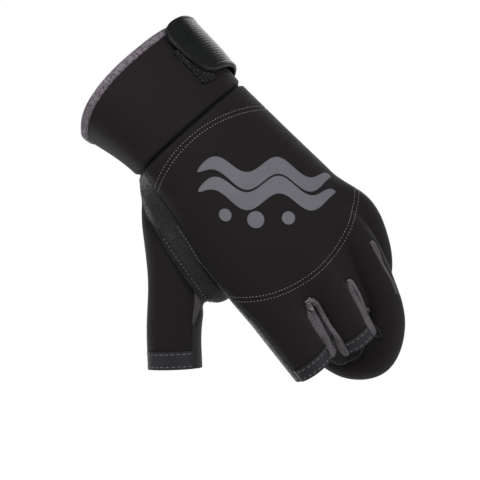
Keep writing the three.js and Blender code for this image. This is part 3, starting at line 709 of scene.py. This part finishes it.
def make_binding():
    turns, n = 220, len(BINDING_PROFILE)
    points = []
    for k in range(turns):
        angle = 2 * math.pi * k / turns
        for arc, grow in BINDING_PROFILE:
            swell = 0.05 * math.sin(9 * angle) + 0.04 * math.sin(17 * angle + 1)
            points.append(hand.surface(max(arc, 0), angle, grow + swell) + hand.along[0] * min(arc, 0))
    faces = [
        (k * n + j, ((k + 1) % turns) * n + j, ((k + 1) % turns) * n + (j + 1) % n, k * n + (j + 1) % n)
        for k in range(turns) for j in range(n)
    ]
    return mesh_object("cuff_binding_tape", points, faces)


def band_grid(first, last, end_half, centre, half, height, columns, rows, low):
    """A band that lies round the cuff: its outer and inner points on a grid."""
    upper, lower = [], []
    for k in range(columns + 1):
        share = k / columns
        turn = first + (last - first) * (share if not end_half else share**1.6)
        for j in range(rows + 1):
            w = 2 * j / rows - 1
            at = centre(turn) + half(turn) * w
            angle = math.radians(turn)
            arc = at * CUFF_LENGTH * hand_per_cuff()
            top, base = height(turn, w), low(turn, w)
            upper.append(hand.surface(arc, angle, top))
            lower.append(hand.surface(arc, angle, base))
    return np.array(upper), np.array(lower)


def hand_per_cuff():
    """The spine's length per millimetre of the cuff's height."""
    return hand.arc[int(len(hand.arc) * 2 / 7)] / CUFF_LENGTH


def closed_grid(name, upper, lower, columns, rows):
    across = rows + 1
    count = len(upper)
    top = [(k * across + j, k * across + j + 1, (k + 1) * across + j + 1, (k + 1) * across + j)
           for k in range(columns) for j in range(rows)]
    faces = top + [tuple(count + i for i in reversed(quad)) for quad in top]
    rim = ([k * across for k in range(columns + 1)]
           + [columns * across + j for j in range(1, rows + 1)]
           + [k * across + rows for k in range(columns - 1, -1, -1)]
           + [j for j in range(rows - 1, 0, -1)])
    for a, b in zip(rim, rim[1:] + rim[:1]):
        faces.append((a, b, b + count, a + count))
    return mesh_object(name, np.vstack([upper, lower]), faces)


TAB_FIRST, TAB_LAST, TAB_ROUND, TAB_HALF = -73.0, 62.0, 17.0, 0.37


def tab_half(turn):
    inward = min((turn - TAB_FIRST) / TAB_ROUND, 1)
    return TAB_HALF * (1 - (1 - inward) ** 2.6) ** (1 / 2.6)


def tab_centre(turn):
    return np.interp(turn, [-74, -60, -40, 0, 62], [0.405, 0.4, 0.41, 0.435, 0.455])


def tab_low(turn, w):
    """How far the strap stands off the cuff: more at the rim, and nothing where it is sewn on."""
    lifted = 2.4 * smooth_step((turn + 72) / 25) * ((1 - w) / 2) ** 1.3
    return (2.2 + lifted) * (1 - smooth_step((turn - 40) / 20)) + 0.15


def smooth_step(t):
    t = min(max(t, 0), 1)
    return t * t * (3 - 2 * t)


def tab_height(turn, w):
    step = 0.5
    slope = (tab_half(turn + step) - tab_half(turn)) * CUFF_LENGTH / (math.radians(step) * 38)
    edge = tab_half(turn) * CUFF_LENGTH * (1 - abs(w)) / math.sqrt(1 + slope**2)
    edge = min(edge, (TAB_LAST - turn) * math.radians(1) * 38)
    rise = 1.55 * math.sqrt(max(1 - (1 - min(edge / 0.8, 1)) ** 2, 0))
    border = 0.35 * (1 - smooth_step((edge - 1.7) / 0.5))
    rib_zone = smooth_step((edge - 2.6) / 0.4)
    rib = 0.11 * rib_zone * math.sin(2 * math.pi * tab_half(turn) * CUFF_LENGTH * w / 1.25)
    return tab_low(turn, w) + rise + border + rib


def make_tab():
    columns, rows = 200, 120
    upper, lower = band_grid(TAB_FIRST, TAB_LAST, True, tab_centre, tab_half, tab_height, columns, rows, tab_low)
    return closed_grid("closure_tab", upper, lower, columns, rows)

PATCH_FIRST, PATCH_LAST = -76.0, -24.0
PATCH_LOW = ((PATCH_FIRST, PATCH_LAST), (0.36, 0.3))
PATCH_HIGH = ((PATCH_FIRST, PATCH_FIRST + 1.5, -63, -58, PATCH_LAST), (0.78, 0.81, 0.83, 0.76, 0.72))


def make_patch():
    rng = np.random.default_rng(11)

    def half(turn):
        return (np.interp(turn, *PATCH_HIGH) - np.interp(turn, *PATCH_LOW)) / 2

    def centre(turn):
        return (np.interp(turn, *PATCH_HIGH) + np.interp(turn, *PATCH_LOW)) / 2

    def height(turn, w):
        inner = min((1 - abs(w)) * half(turn) * CUFF_LENGTH, (turn - PATCH_FIRST) * 0.65)
        return 0.8 + 0.9 * min(inner / 0.8, 1) + rng.uniform(-0.16, 0.16) * min(inner, 1)

    def low(turn, w):
        return 0.35

    columns, rows = 110, 64
    upper, lower = band_grid(PATCH_FIRST, PATCH_LAST, False, centre, half, height, columns, rows, low)
    return closed_grid("closure_patch", upper, lower, columns, rows)


# Stitches
STITCH_RINGS = ((-1, 0.25), (-0.8, 0.72), (-0.35, 1), (0.35, 1), (0.8, 0.72), (1, 0.25))
STITCH_SIDES = 7


def stitches(name, spots):
    """Short threads lying on the cloth: spots are (place, along, up, length, width, height)."""
    place, along, up, length, width, height = (np.array(x, float) for x in zip(*spots))
    across = unit(np.cross(up, along))
    points, n = [], len(STITCH_RINGS) * STITCH_SIDES
    for at, round_off in STITCH_RINGS:
        for k in range(STITCH_SIDES):
            angle = 2 * math.pi * k / STITCH_SIDES
            rise = math.sin(angle) * round_off * 0.5 - 0.25 * abs(at) ** 3
            points.append(place + along * (at * length / 2)[:, None]
                          + across * (math.cos(angle) * round_off * width / 2)[:, None]
                          + up * (rise * height)[:, None])
    points = np.stack(points, 1).reshape(-1, 3)
    faces = []
    for ring in range(len(STITCH_RINGS) - 1):
        for k in range(STITCH_SIDES):
            a, b = ring * STITCH_SIDES + k, ring * STITCH_SIDES + (k + 1) % STITCH_SIDES
            c, d = b + STITCH_SIDES, a + STITCH_SIDES
            faces += [(a, b, c), (a, c, d)]
    for base, turn in ((0, -1), (n - STITCH_SIDES, 1)):
        for k in range(1, STITCH_SIDES - 1):
            faces.append((base, base + k, base + k + 1)[::turn])
    faces = np.array(faces)[:, ::-1]
    every = (faces[None] + n * np.arange(len(place))[:, None, None]).reshape(-1, 3)
    return mesh_object(name, points, every)


def row_spots(runs, pitch, length, width, height, lift, rng, keep=None):
    """Stitches at a pitch along runs of places and normals."""
    spots = []
    for places, normals in runs:
        steps = np.linalg.norm(np.diff(places, axis=0), axis=1)
        arc = np.concatenate([[0], np.cumsum(steps)])
        for at in np.arange(pitch * 0.6, arc[-1] - pitch * 0.3, pitch):
            at = at + rng.uniform(-0.06, 0.06) * pitch
            here = np.array([np.interp(at, arc, places[:, i]) for i in range(3)])
            if keep is not None and not keep(here):
                continue
            ahead = np.array([np.interp(at + 0.4, arc, places[:, i]) for i in range(3)])
            behind = np.array([np.interp(at - 0.4, arc, places[:, i]) for i in range(3)])
            up = unit(np.array([np.interp(at, arc, normals[:, i]) for i in range(3)]))
            along = unit(ahead - behind)
            along = unit(along - up * (along @ up))
            spots.append((here + up * lift, along, up, length * rng.uniform(0.92, 1.08), width, height))
    return spots


# Materials
class Nodes:
    """A material's node tree, built by calls: inputs are numbers, colours or other outputs."""

    def __init__(self, name):
        self.material = bpy.data.materials.new(name)
        self.material.use_nodes = True
        self.tree = self.material.node_tree
        self.shader = self.tree.nodes["Principled BSDF"]
        self.places = self.add("ShaderNodeTexCoord").outputs["Object"]

    def add(self, kind, inputs=None, **settings):
        node = self.tree.nodes.new(kind)
        for name, value in settings.items():
            setattr(node, name, value)
        for name, value in (inputs or {}).items():
            self.feed(node.inputs[name], value)
        return node

    def feed(self, socket, value):
        if isinstance(value, bpy.types.NodeSocket):
            self.tree.links.new(value, socket)
        else:
            socket.default_value = value

    def math(self, operation, a, b=0.0, c=0.0):
        node = self.add("ShaderNodeMath", {0: a, 1: b, 2: c}, operation=operation)
        return node.outputs[0]

    def noise(self, scale, detail=2.0, roughness=0.5, vector=None):
        """Noise whose features are about 1/scale metres."""
        node = self.add("ShaderNodeTexNoise", {
            "Vector": vector or self.places, "Scale": scale, "Detail": detail, "Roughness": roughness})
        return node.outputs["Fac"]

    def cells(self, scale):
        node = self.add("ShaderNodeTexVoronoi", {"Vector": self.places, "Scale": scale}, feature="F1")
        return node.outputs["Distance"]

    def mark(self, name):
        return self.add("ShaderNodeAttribute", attribute_name=name).outputs["Fac"]

    def span(self, value, low, high, out_low=0.0, out_high=1.0):
        node = self.add("ShaderNodeMapRange", {
            "Value": value, "From Min": low, "From Max": high, "To Min": out_low, "To Max": out_high},
            interpolation_type="SMOOTHSTEP")
        return node.outputs["Result"]

    def mix(self, share, a, b):
        node = self.add("ShaderNodeMix", data_type="RGBA")
        self.feed(node.inputs["Factor"], share)
        self.feed(node.inputs[6], (*a, 1) if isinstance(a, tuple) else a)
        self.feed(node.inputs[7], (*b, 1) if isinstance(b, tuple) else b)
        return node.outputs[2]

    def finish(self, colour, roughness, relief, distance, **fixed):
        """Feeds the shader: relief is in shares of distance, which is in metres."""
        self.feed(self.shader.inputs["Base Color"], colour)
        self.feed(self.shader.inputs["Roughness"], roughness)
        for name, value in fixed.items():
            self.shader.inputs[name.replace("_", " ")].default_value = value
        bump = self.add("ShaderNodeBump", {"Height": relief, "Distance": distance, "Strength": 1.0})
        self.feed(self.shader.inputs["Normal"], bump.outputs["Normal"])
        return self.material


def neoprene_material():
    """Matte jersey over foam: fine loops, faint lint, a slight reddish cast in places and painted shade in the
    sunk seams.
    """
    n = Nodes("black_neoprene")
    loops = n.cells(2600)
    yarn = n.noise(5200, 2)
    patches = n.noise(22, 3, 0.6)
    lint = n.span(n.noise(900, 3, 0.7), 0.66, 0.8)
    colour = n.mix(patches, (0.0082, 0.0058, 0.0065), (0.0112, 0.0078, 0.0088))
    colour = n.mix(n.math("MULTIPLY", lint, 0.3), colour, (0.026, 0.023, 0.024))
    # Painted shade: the colour goes near black where the seam groove is sunk deep.
    colour = n.mix(n.span(n.mark("groove_shade"), 0.3, 1.3, 0, 0.9), colour, (0.0015, 0.0012, 0.0012))
    near = n.math("ABSOLUTE", n.mark("row"))
    channel = n.math("MULTIPLY", n.span(near, 0.0, 0.7, 1, 0), -2.2)
    relief = n.math("ADD", n.math("MULTIPLY", loops, 0.6), n.math("MULTIPLY", yarn, 0.5))
    relief = n.math("ADD", relief, channel)
    relief = n.math("ADD", relief, n.math("MULTIPLY", n.noise(60, 3), 2.0))
    roughness = n.span(patches, 0.2, 0.8, 0.68, 0.8)
    return n.finish(colour, roughness, relief, 0.00012, Specular_IOR_Level=0.18, Sheen_Weight=0.04,
                    Sheen_Roughness=0.5)


def leather_material():
    """Charcoal synthetic leather: pebbled, with grey and greenish specks, worn high spots and painted shade in
    its sunk seams.
    """
    n = Nodes("charcoal_leather")
    pebble = n.cells(850)
    fine = n.cells(1900)
    creases = n.noise(140, 5, 0.6)
    patches = n.noise(35, 3)
    specks = n.span(n.noise(1400, 3, 0.75), 0.56, 0.72)
    colour = n.mix(patches, (0.0065, 0.0068, 0.0078), (0.0115, 0.012, 0.0132))
    colour = n.mix(n.math("MULTIPLY", specks, 0.45), colour, (0.042, 0.044, 0.046))
    # Painted shade: the colour goes near black down in the sunk seam grooves.
    colour = n.mix(n.span(n.mark("groove_shade"), 0.1, 0.5, 0, 0.8), colour, (0.002, 0.002, 0.002))
    relief = n.math("ADD", n.math("MULTIPLY", pebble, -1.0), n.math("MULTIPLY", fine, -0.45))
    relief = n.math("ADD", relief, n.math("MULTIPLY", creases, 3.2))
    roughness = n.span(pebble, 0.1, 0.9, 0.42, 0.6)
    return n.finish(colour, roughness, relief, 0.0003, Specular_IOR_Level=0.36)


def hem_material():
    """The same leather, thinner and smoother, on the hem bands."""
    n = Nodes("hem_leather")
    pebble = n.cells(1500)
    patches = n.noise(60, 3)
    specks = n.span(n.noise(1700, 3, 0.7), 0.6, 0.76)
    colour = n.mix(patches, (0.0095, 0.0098, 0.0125), (0.015, 0.0155, 0.019))
    colour = n.mix(n.math("MULTIPLY", specks, 0.35), colour, (0.05, 0.052, 0.056))
    relief = n.math("ADD", n.math("MULTIPLY", pebble, -0.8), n.math("MULTIPLY", n.noise(200, 3), 1.2))
    return n.finish(colour, n.span(pebble, 0.1, 0.9, 0.45, 0.6), relief, 0.00015, Specular_IOR_Level=0.34)


def knit_material(name, dark, light):
    """Ribbed knit: slanted light ribs over a darker ground, with painted shade deep in the fold between fingers.
    run and side are millimetres.
    """
    n = Nodes(name)
    slant = n.math("ADD", n.mark("run"), n.math("MULTIPLY", n.mark("side"), RIB_SLANT))
    wobble = n.math("MULTIPLY", n.noise(500, 2), 0.12)
    wave = n.math("SINE", n.math("MULTIPLY", n.math("ADD", slant, wobble), 2 * math.pi / RIB_PITCH))
    rib = n.span(wave, -0.4, 0.9)
    stitch = n.cells(2400)
    shade = n.noise(120, 3)
    colour = n.mix(rib, dark, light)
    colour = n.mix(n.span(shade, 0.35, 0.75, 0, 0.45), colour, tuple(0.6 * c for c in dark))
    # Painted shade: the knit darkens down in the fold between the fingers, past the rolled edge.
    colour = n.mix(n.span(n.mark("fold"), -0.8, 0.8, 0, 0.85), colour, tuple(0.3 * c for c in dark))
    relief = n.math("ADD", rib, n.math("MULTIPLY", stitch, 0.35))
    return n.finish(colour, n.span(rib, 0, 1, 0.95, 0.8), relief, 0.0003, Specular_IOR_Level=0.2,
                    Sheen_Weight=0.25, Sheen_Roughness=0.4)


def binding_material():
    """Melange jersey tape: mauve grey with light and dark fibres along it."""
    n = Nodes("melange_binding")
    fibres = n.noise(1100, 5, 0.75)
    slubs = n.noise(420, 4, 0.7)
    colour = n.mix(n.span(fibres, 0.36, 0.64), (0.055, 0.045, 0.055), (0.32, 0.28, 0.32))
    colour = n.mix(n.span(slubs, 0.45, 0.66, 0, 0.75), colour, (0.075, 0.062, 0.076))
    relief = n.math("ADD", fibres, n.math("MULTIPLY", n.cells(2200), 0.6))
    return n.finish(colour, n.span(fibres, 0.3, 0.7, 0.95, 0.82), relief, 0.0002, Specular_IOR_Level=0.2,
                    Sheen_Weight=0.25, Sheen_Roughness=0.4)


def strap_material():
    """Moulded flexible strap: dark green-black, satin, with scuffed ribs."""
    n = Nodes("moulded_strap")
    grain = n.cells(1500)
    scuffs = n.span(n.noise(420, 5, 0.7), 0.56, 0.74)
    colour = n.mix(n.math("MULTIPLY", scuffs, 0.4), (0.0045, 0.0058, 0.0052), (0.02, 0.024, 0.022))
    relief = n.math("ADD", n.math("MULTIPLY", grain, 0.5), n.math("MULTIPLY", n.noise(160, 3), 1.2))
    roughness = n.math("ADD", n.math("MULTIPLY", scuffs, 0.2), 0.4)
    return n.finish(colour, roughness, relief, 0.00012, Specular_IOR_Level=0.32)


def pile_material():
    """Loop pile: black with grey specks."""
    n = Nodes("hook_pile")
    loops = n.cells(1500)
    specks = n.span(n.noise(1100, 4, 0.75), 0.5, 0.68)
    colour = n.mix(specks, (0.006, 0.0065, 0.0065), (0.085, 0.088, 0.085))
    relief = n.math("ADD", loops, n.noise(2500, 3))
    return n.finish(colour, n.span(loops, 0, 1, 0.8, 0.98), relief, 0.0005, Specular_IOR_Level=0.2)


def film_material():
    """Printed satin film: grey with a fine grain and worn spots."""
    n = Nodes("satin_film")
    grain = n.noise(3600, 3, 0.7)
    patches = n.noise(45, 3)
    colour = n.mix(patches, (0.1, 0.1, 0.12), (0.16, 0.16, 0.185))
    colour = n.mix(n.span(grain, 0.52, 0.72, 0, 0.35), colour, (0.2, 0.2, 0.23))
    relief = n.math("ADD", grain, n.math("MULTIPLY", n.noise(90, 3), 1.4))
    return n.finish(colour, n.span(grain, 0.3, 0.7, 0.4, 0.55), relief, 0.00008, Specular_IOR_Level=0.5)


def thread_material(name, dark, light):
    n = Nodes(name)
    twist = n.noise(2600, 2)
    colour = n.mix(twist, dark, light)
    return n.finish(colour, n.span(twist, 0.3, 0.7, 0.7, 0.85), twist, 0.00008, Specular_IOR_Level=0.3)


def floor_material():
    n = Nodes("pale_floor")
    pale = n.mix(n.noise(3, 2), (0.8, 0.8, 0.8), (0.84, 0.84, 0.84))
    return n.finish(pale, 0.9, n.noise(40, 2), 0.0001, Emission_Color=(1, 1, 1, 1), Emission_Strength=0.42)


# Stage and lights
def make_stage():
    half, low = 4, -1.2
    corners = [(-half, -half, low), (half, -half, low), (half, half, low), (-half, half, low)]
    mesh = bpy.data.meshes.new("floor")
    mesh.from_pydata(corners, [], [(0, 1, 2, 3)])
    floor = bpy.data.objects.new("floor", mesh)
    bpy.context.collection.objects.link(floor)
    floor.data.materials.append(floor_material())
    world = bpy.data.worlds.new("studio")
    world.use_nodes = True
    tree = world.node_tree
    light = tree.nodes["Background"]
    light.inputs["Color"].default_value = (1, 1, 1, 1)
    light.inputs["Strength"].default_value = 0.12
    seen = tree.nodes.new("ShaderNodeBackground")
    seen.inputs["Color"].default_value = (1, 1, 1, 1)
    mix = tree.nodes.new("ShaderNodeMixShader")
    path = tree.nodes.new("ShaderNodeLightPath")
    tree.links.new(path.outputs["Is Camera Ray"], mix.inputs["Fac"])
    tree.links.new(light.outputs[0], mix.inputs[1])
    tree.links.new(seen.outputs[0], mix.inputs[2])
    tree.links.new(mix.outputs[0], tree.nodes["World Output"].inputs["Surface"])
    bpy.context.scene.world = world


LIGHTS = (  # right, up and towards the camera from the glove in metres, size, watts
    (-0.3, 0.8, 0.75, 0.8, 9),
    (0.7, 0.3, 0.7, 0.7, 2),
    (-0.8, -0.1, 0.35, 0.6, 1.6),
    (0.3, 0.5, -0.9, 0.9, 6),
    (-0.6, -0.5, -0.7, 0.8, 5),
)


def make_lights():
    camera = bpy.context.scene.camera
    turn = camera.matrix_world.to_3x3()
    target = Vector((0, 0, -100)) * MM
    for k, (right, up, near, size, watts) in enumerate(LIGHTS):
        data = bpy.data.lights.new(f"softbox_{k}", "AREA")
        data.shape, data.size, data.energy = "DISK", size, watts
        lamp = bpy.data.objects.new(f"softbox_{k}", data)
        way = turn @ Vector((right, up, near))
        lamp.location = target + way
        lamp.rotation_euler = way.to_track_quat("Z", "Y").to_euler()
        bpy.context.collection.objects.link(lamp)


# Assembly
def dress(obj, slot, material, *nodes):
    obj.data.materials.append(material)
    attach(obj, "root")
    if nodes:
        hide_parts(*nodes)


ARC_PANELS = ("back_yoke", "back_pad", "finger_backs")
ROW_SPREAD = 1.15  # each stitch row's distance from its arc seam


def row_mark(sheet):
    """The distance to the nearest stitch row of the arc seams."""
    high = sheet["place"][:, 2] > WRIST_Z - 0.5 * PALM_LENGTH
    arc = np.where(high, outside(sheet, YOKE_CIRCLE), outside_pad(sheet))
    return np.abs(arc) - ROW_SPREAD


def strip_marks(sheet, fork):
    """How far along and round its finger each point of a knit strip is, and how far inside its outline past the
    rolled edge, which also sets how much shade the knit paints into the fold.
    """
    names = [side.finger for side in fork.sides]
    first = np.argmin([sheet[f"{n}_off"] for n in names], 0)
    run = np.choose(first, [sheet[f"{n}_arc"] for n in names])
    round_it = np.choose(first, [sheet[f"{n}_through"] * (1 if k else -1) for k, n in enumerate(names)])
    inside = np.maximum(inside_outline(sheet, fork), 0)
    # The fold value shapes the rolled edge and sets the painted shade down in the fold.
    return {"run": run, "side": round_it, "fold": inside - fork.roll}


def ridge(sheet, fork, marks):
    """How far a knit strip stands out: a roll along its outline, with the ribs on it."""
    t = 1 + 2 * np.minimum(marks["fold"] / fork.roll, 0)
    ribs = np.sin(2 * math.pi * (marks["run"] + RIB_SLANT * marks["side"]) / RIB_PITCH)
    rise = fork.bulge * np.sqrt(np.maximum(1 - t**2, 0))
    for side in fork.sides:
        across, through, deep, arc, off = sheet.of(side.finger, "across through hd arc off")
        t = np.clip(2 * (through - side.dorsal * deep) / SIDE_ROLL - 1, -1, 1)
        start = np.clip((arc - LIMBS[side.finger].arc_at(side.begin)) / SIDE_ROLL, 0, 1)
        here = (off < 1.5) & (side.towards * across > 0)
        rise = np.maximum(rise, here * start * side.bulge * np.sqrt(1 - t**2))
    return rise + 0.2 + RIB_HEIGHT * ribs


RIB_PITCH, RIB_SLANT, RIB_HEIGHT = 0.86, 0.75, 0.18
SIDE_ROLL = 3.8  # width of the roll on a finger's far side


def make_panels():
    panels = cut_panels(make_skin())
    neoprene, leather, hem = neoprene_material(), leather_material(), hem_material()
    knit = knit_material("ribbed_knit", (0.02, 0.017, 0.02), (0.31, 0.275, 0.31))
    cloth = {"cuff": "cuff_cloth", "back_yoke": "yoke_cloth", "back_pad": "back_cloth",
             "finger_backs": "finger_cloth", "thumb_back": "thumb_cloth"}
    for key, piece in cloth.items():
        sheet = panels[key]
        row = row_mark(sheet) if key in ARC_PANELS else np.full(len(sheet["dip"]), 9.0)
        dress(solid(piece, sheet, marks={"row": row}), "neoprene", neoprene, key)
    dress(solid("palm_leather", panels["palm"], proud=0.1), "leather", leather, "palm", "finger_palms")
    dress(solid("thumb_leather", panels["thumb_palm"], proud=0.1), "leather", leather, "thumb_palm")
    for key in ("thumb_hem", "index_hem", "middle_hem"):
        dress(solid(f"{key}_band", panels[key], proud=0.5), "leather", hem, key)
    sheet = panels["thumb_gusset"].refine().refine()
    marks = {"run": sheet["thumb_arc"], "side": sheet["thumb_through"]}
    dress(solid("thumb_wedge", sheet, proud=0.25, marks=marks), "knit", knit, "thumb_gusset")
    for key, fork in FORKS.items():
        sheet = panels[key].refine().refine()
        marks = strip_marks(sheet, fork)
        piece = solid(key.replace("fourchette", "strip"), sheet, proud=ridge(sheet, fork, marks), marks=marks)
        dress(piece, "knit", knit, key)
    return panels


def make_stitches(panels):
    rng = np.random.default_rng(5)
    spots = []
    for key in ARC_PANELS:
        sheet = panels[key]
        spots += row_spots(sheet.lines(row_mark(sheet)), 1.75, 0.76, 0.44, 0.36, 0.02, rng)
    pale = thread_material("pale_thread", (0.15, 0.14, 0.13), (0.36, 0.34, 0.32))
    dress(stitches("arc_stitches", spots), "neoprene", pale)
    spots = []
    for name, width in HEMS.items():
        sheet = panels[f"{name}_hem"]
        for inset in (1.5, width - 1.5):
            spots += row_spots(sheet.lines(to_end(sheet, name) - inset), 3.0, 2.0, 0.36, 0.3, 0.52, rng)
    grey = thread_material("grey_thread", (0.11, 0.11, 0.115), (0.27, 0.27, 0.28))
    dress(stitches("hem_stitches", spots), "leather", grey)
    palm = panels["palm"]

    def beside_thumb(place):
        return place @ LEVEL_SIDE < 0 and WRIST_Z - 0.95 * PALM_LENGTH < place[2] < WRIST_Z - 0.32 * PALM_LENGTH

    def on_index(place):
        return place @ LEVEL_SIDE < 0 and place[2] < WRIST_Z - 0.7 * PALM_LENGTH

    spots = row_spots(palm.lines(back_level(palm) + 0.9), 1.9, 1.2, 0.34, 0.3, 0.1, rng,
                      keep=lambda place: beside_thumb(place) or on_index(place))
    inner = view_x(palm) - strip_seam(palm, THUMB_SEAM) - 2.4
    spots += row_spots(palm.lines(inner), 2.2, 1.2, 0.34, 0.3, 0.1, rng, keep=beside_thumb)
    dress(stitches("seam_stitches", spots), "leather", grey)


def make_strap_stitches():
    """A sewn box where the strap is fixed to the little finger's side of the cuff."""
    rng = np.random.default_rng(8)
    first, last, edge = TAB_LAST - 11, TAB_LAST - 2.6, 0.86
    corners = [(first, -edge), (first, edge), (last, edge), (last, -edge), (first, -edge)]
    runs = []
    for start, stop in zip(corners, corners[1:]):
        places, normals = [], []
        for share in np.linspace(0, 1, 40):
            turn = start[0] + share * (stop[0] - start[0])
            w = start[1] + share * (stop[1] - start[1])
            arc = (tab_centre(turn) + tab_half(turn) * w) * CUFF_LENGTH * hand_per_cuff()
            top = tab_height(turn, w)
            places.append(hand.surface(arc, math.radians(turn), top))
            normals.append(hand.surface(arc, math.radians(turn), top + 1) - places[-1])
        runs.append((np.array(places), unit(np.array(normals))))
    grey = thread_material("strap_thread", (0.05, 0.05, 0.05), (0.12, 0.12, 0.12))
    dress(stitches("strap_stitches", row_spots(runs, 2.4, 1.7, 0.45, 0.4, 0.05, rng)), "strap", grey)


WAVE_ROWS = ((9.0, 4.2), (-1.5, 4.2))  # middle and half width of each ribbon across the emblem
EMBLEM_CENTRE = (13.0, -92.0)  # in the seam view
HAND_AXIS, HAND_ROUND = 4.8, 42.0  # the back's middle in the seam view, and how it rounds away
EMBLEM_TURN = math.radians(-43)
BEADS = ((-24, -13.5, 3.4), (-8, -15.5, 4.4), (9, -14.5, 3.4))


def emblem_level(sheet):
    """Above zero on the printed waves and rounds."""
    flat = np.clip((view_x(sheet) - HAND_AXIS) / HAND_ROUND, -0.98, 0.98)
    x = HAND_AXIS + HAND_ROUND * np.arcsin(flat) - EMBLEM_CENTRE[0]
    z = sheet["place"][:, 2] - EMBLEM_CENTRE[1]
    c, s = math.cos(EMBLEM_TURN), math.sin(EMBLEM_TURN)
    a, b = x * c + z * s, -x * s + z * c
    level = np.full(len(a), -9.0)
    for middle, half in WAVE_ROWS:
        wave = middle + 4.5 * np.sin(2 * math.pi * (a + 4) / 34)
        taper = half * np.sqrt(np.clip(1 - (np.abs(a) / 38) ** 3, 0, 1)) - 0.2
        level = np.maximum(level, taper - np.abs(b - wave) * 0.85)
    for at, height, radius in BEADS:
        level = np.maximum(level, radius - np.hypot(a - at, b - height))
    return np.minimum(level, (sheet["normal"] @ TO_CAMERA - 0.1) * 20)


def make_emblem(panels):
    sheet = panels["back_pad"]
    near = sheet.clip(emblem_level(sheet) + 3).refine().refine()
    film = near.clip(emblem_level(near))
    obj = solid("emblem_film", film, thickness=-0.02, proud=0.14)
    dress(obj, "neoprene", film_material())


bpy.context.scene.view_settings.view_transform = "Standard"
make_camera()
make_stage()
make_lights()
glove_panels = make_panels()
make_stitches(glove_panels)
make_emblem(glove_panels)
dress(make_binding(), "binding", binding_material(), "cuff_binding")
dress(make_tab(), "strap", strap_material(), "wrist_tab")
dress(make_patch(), "hook_pile", pile_material(), "tab_patch")
make_strap_stitches()
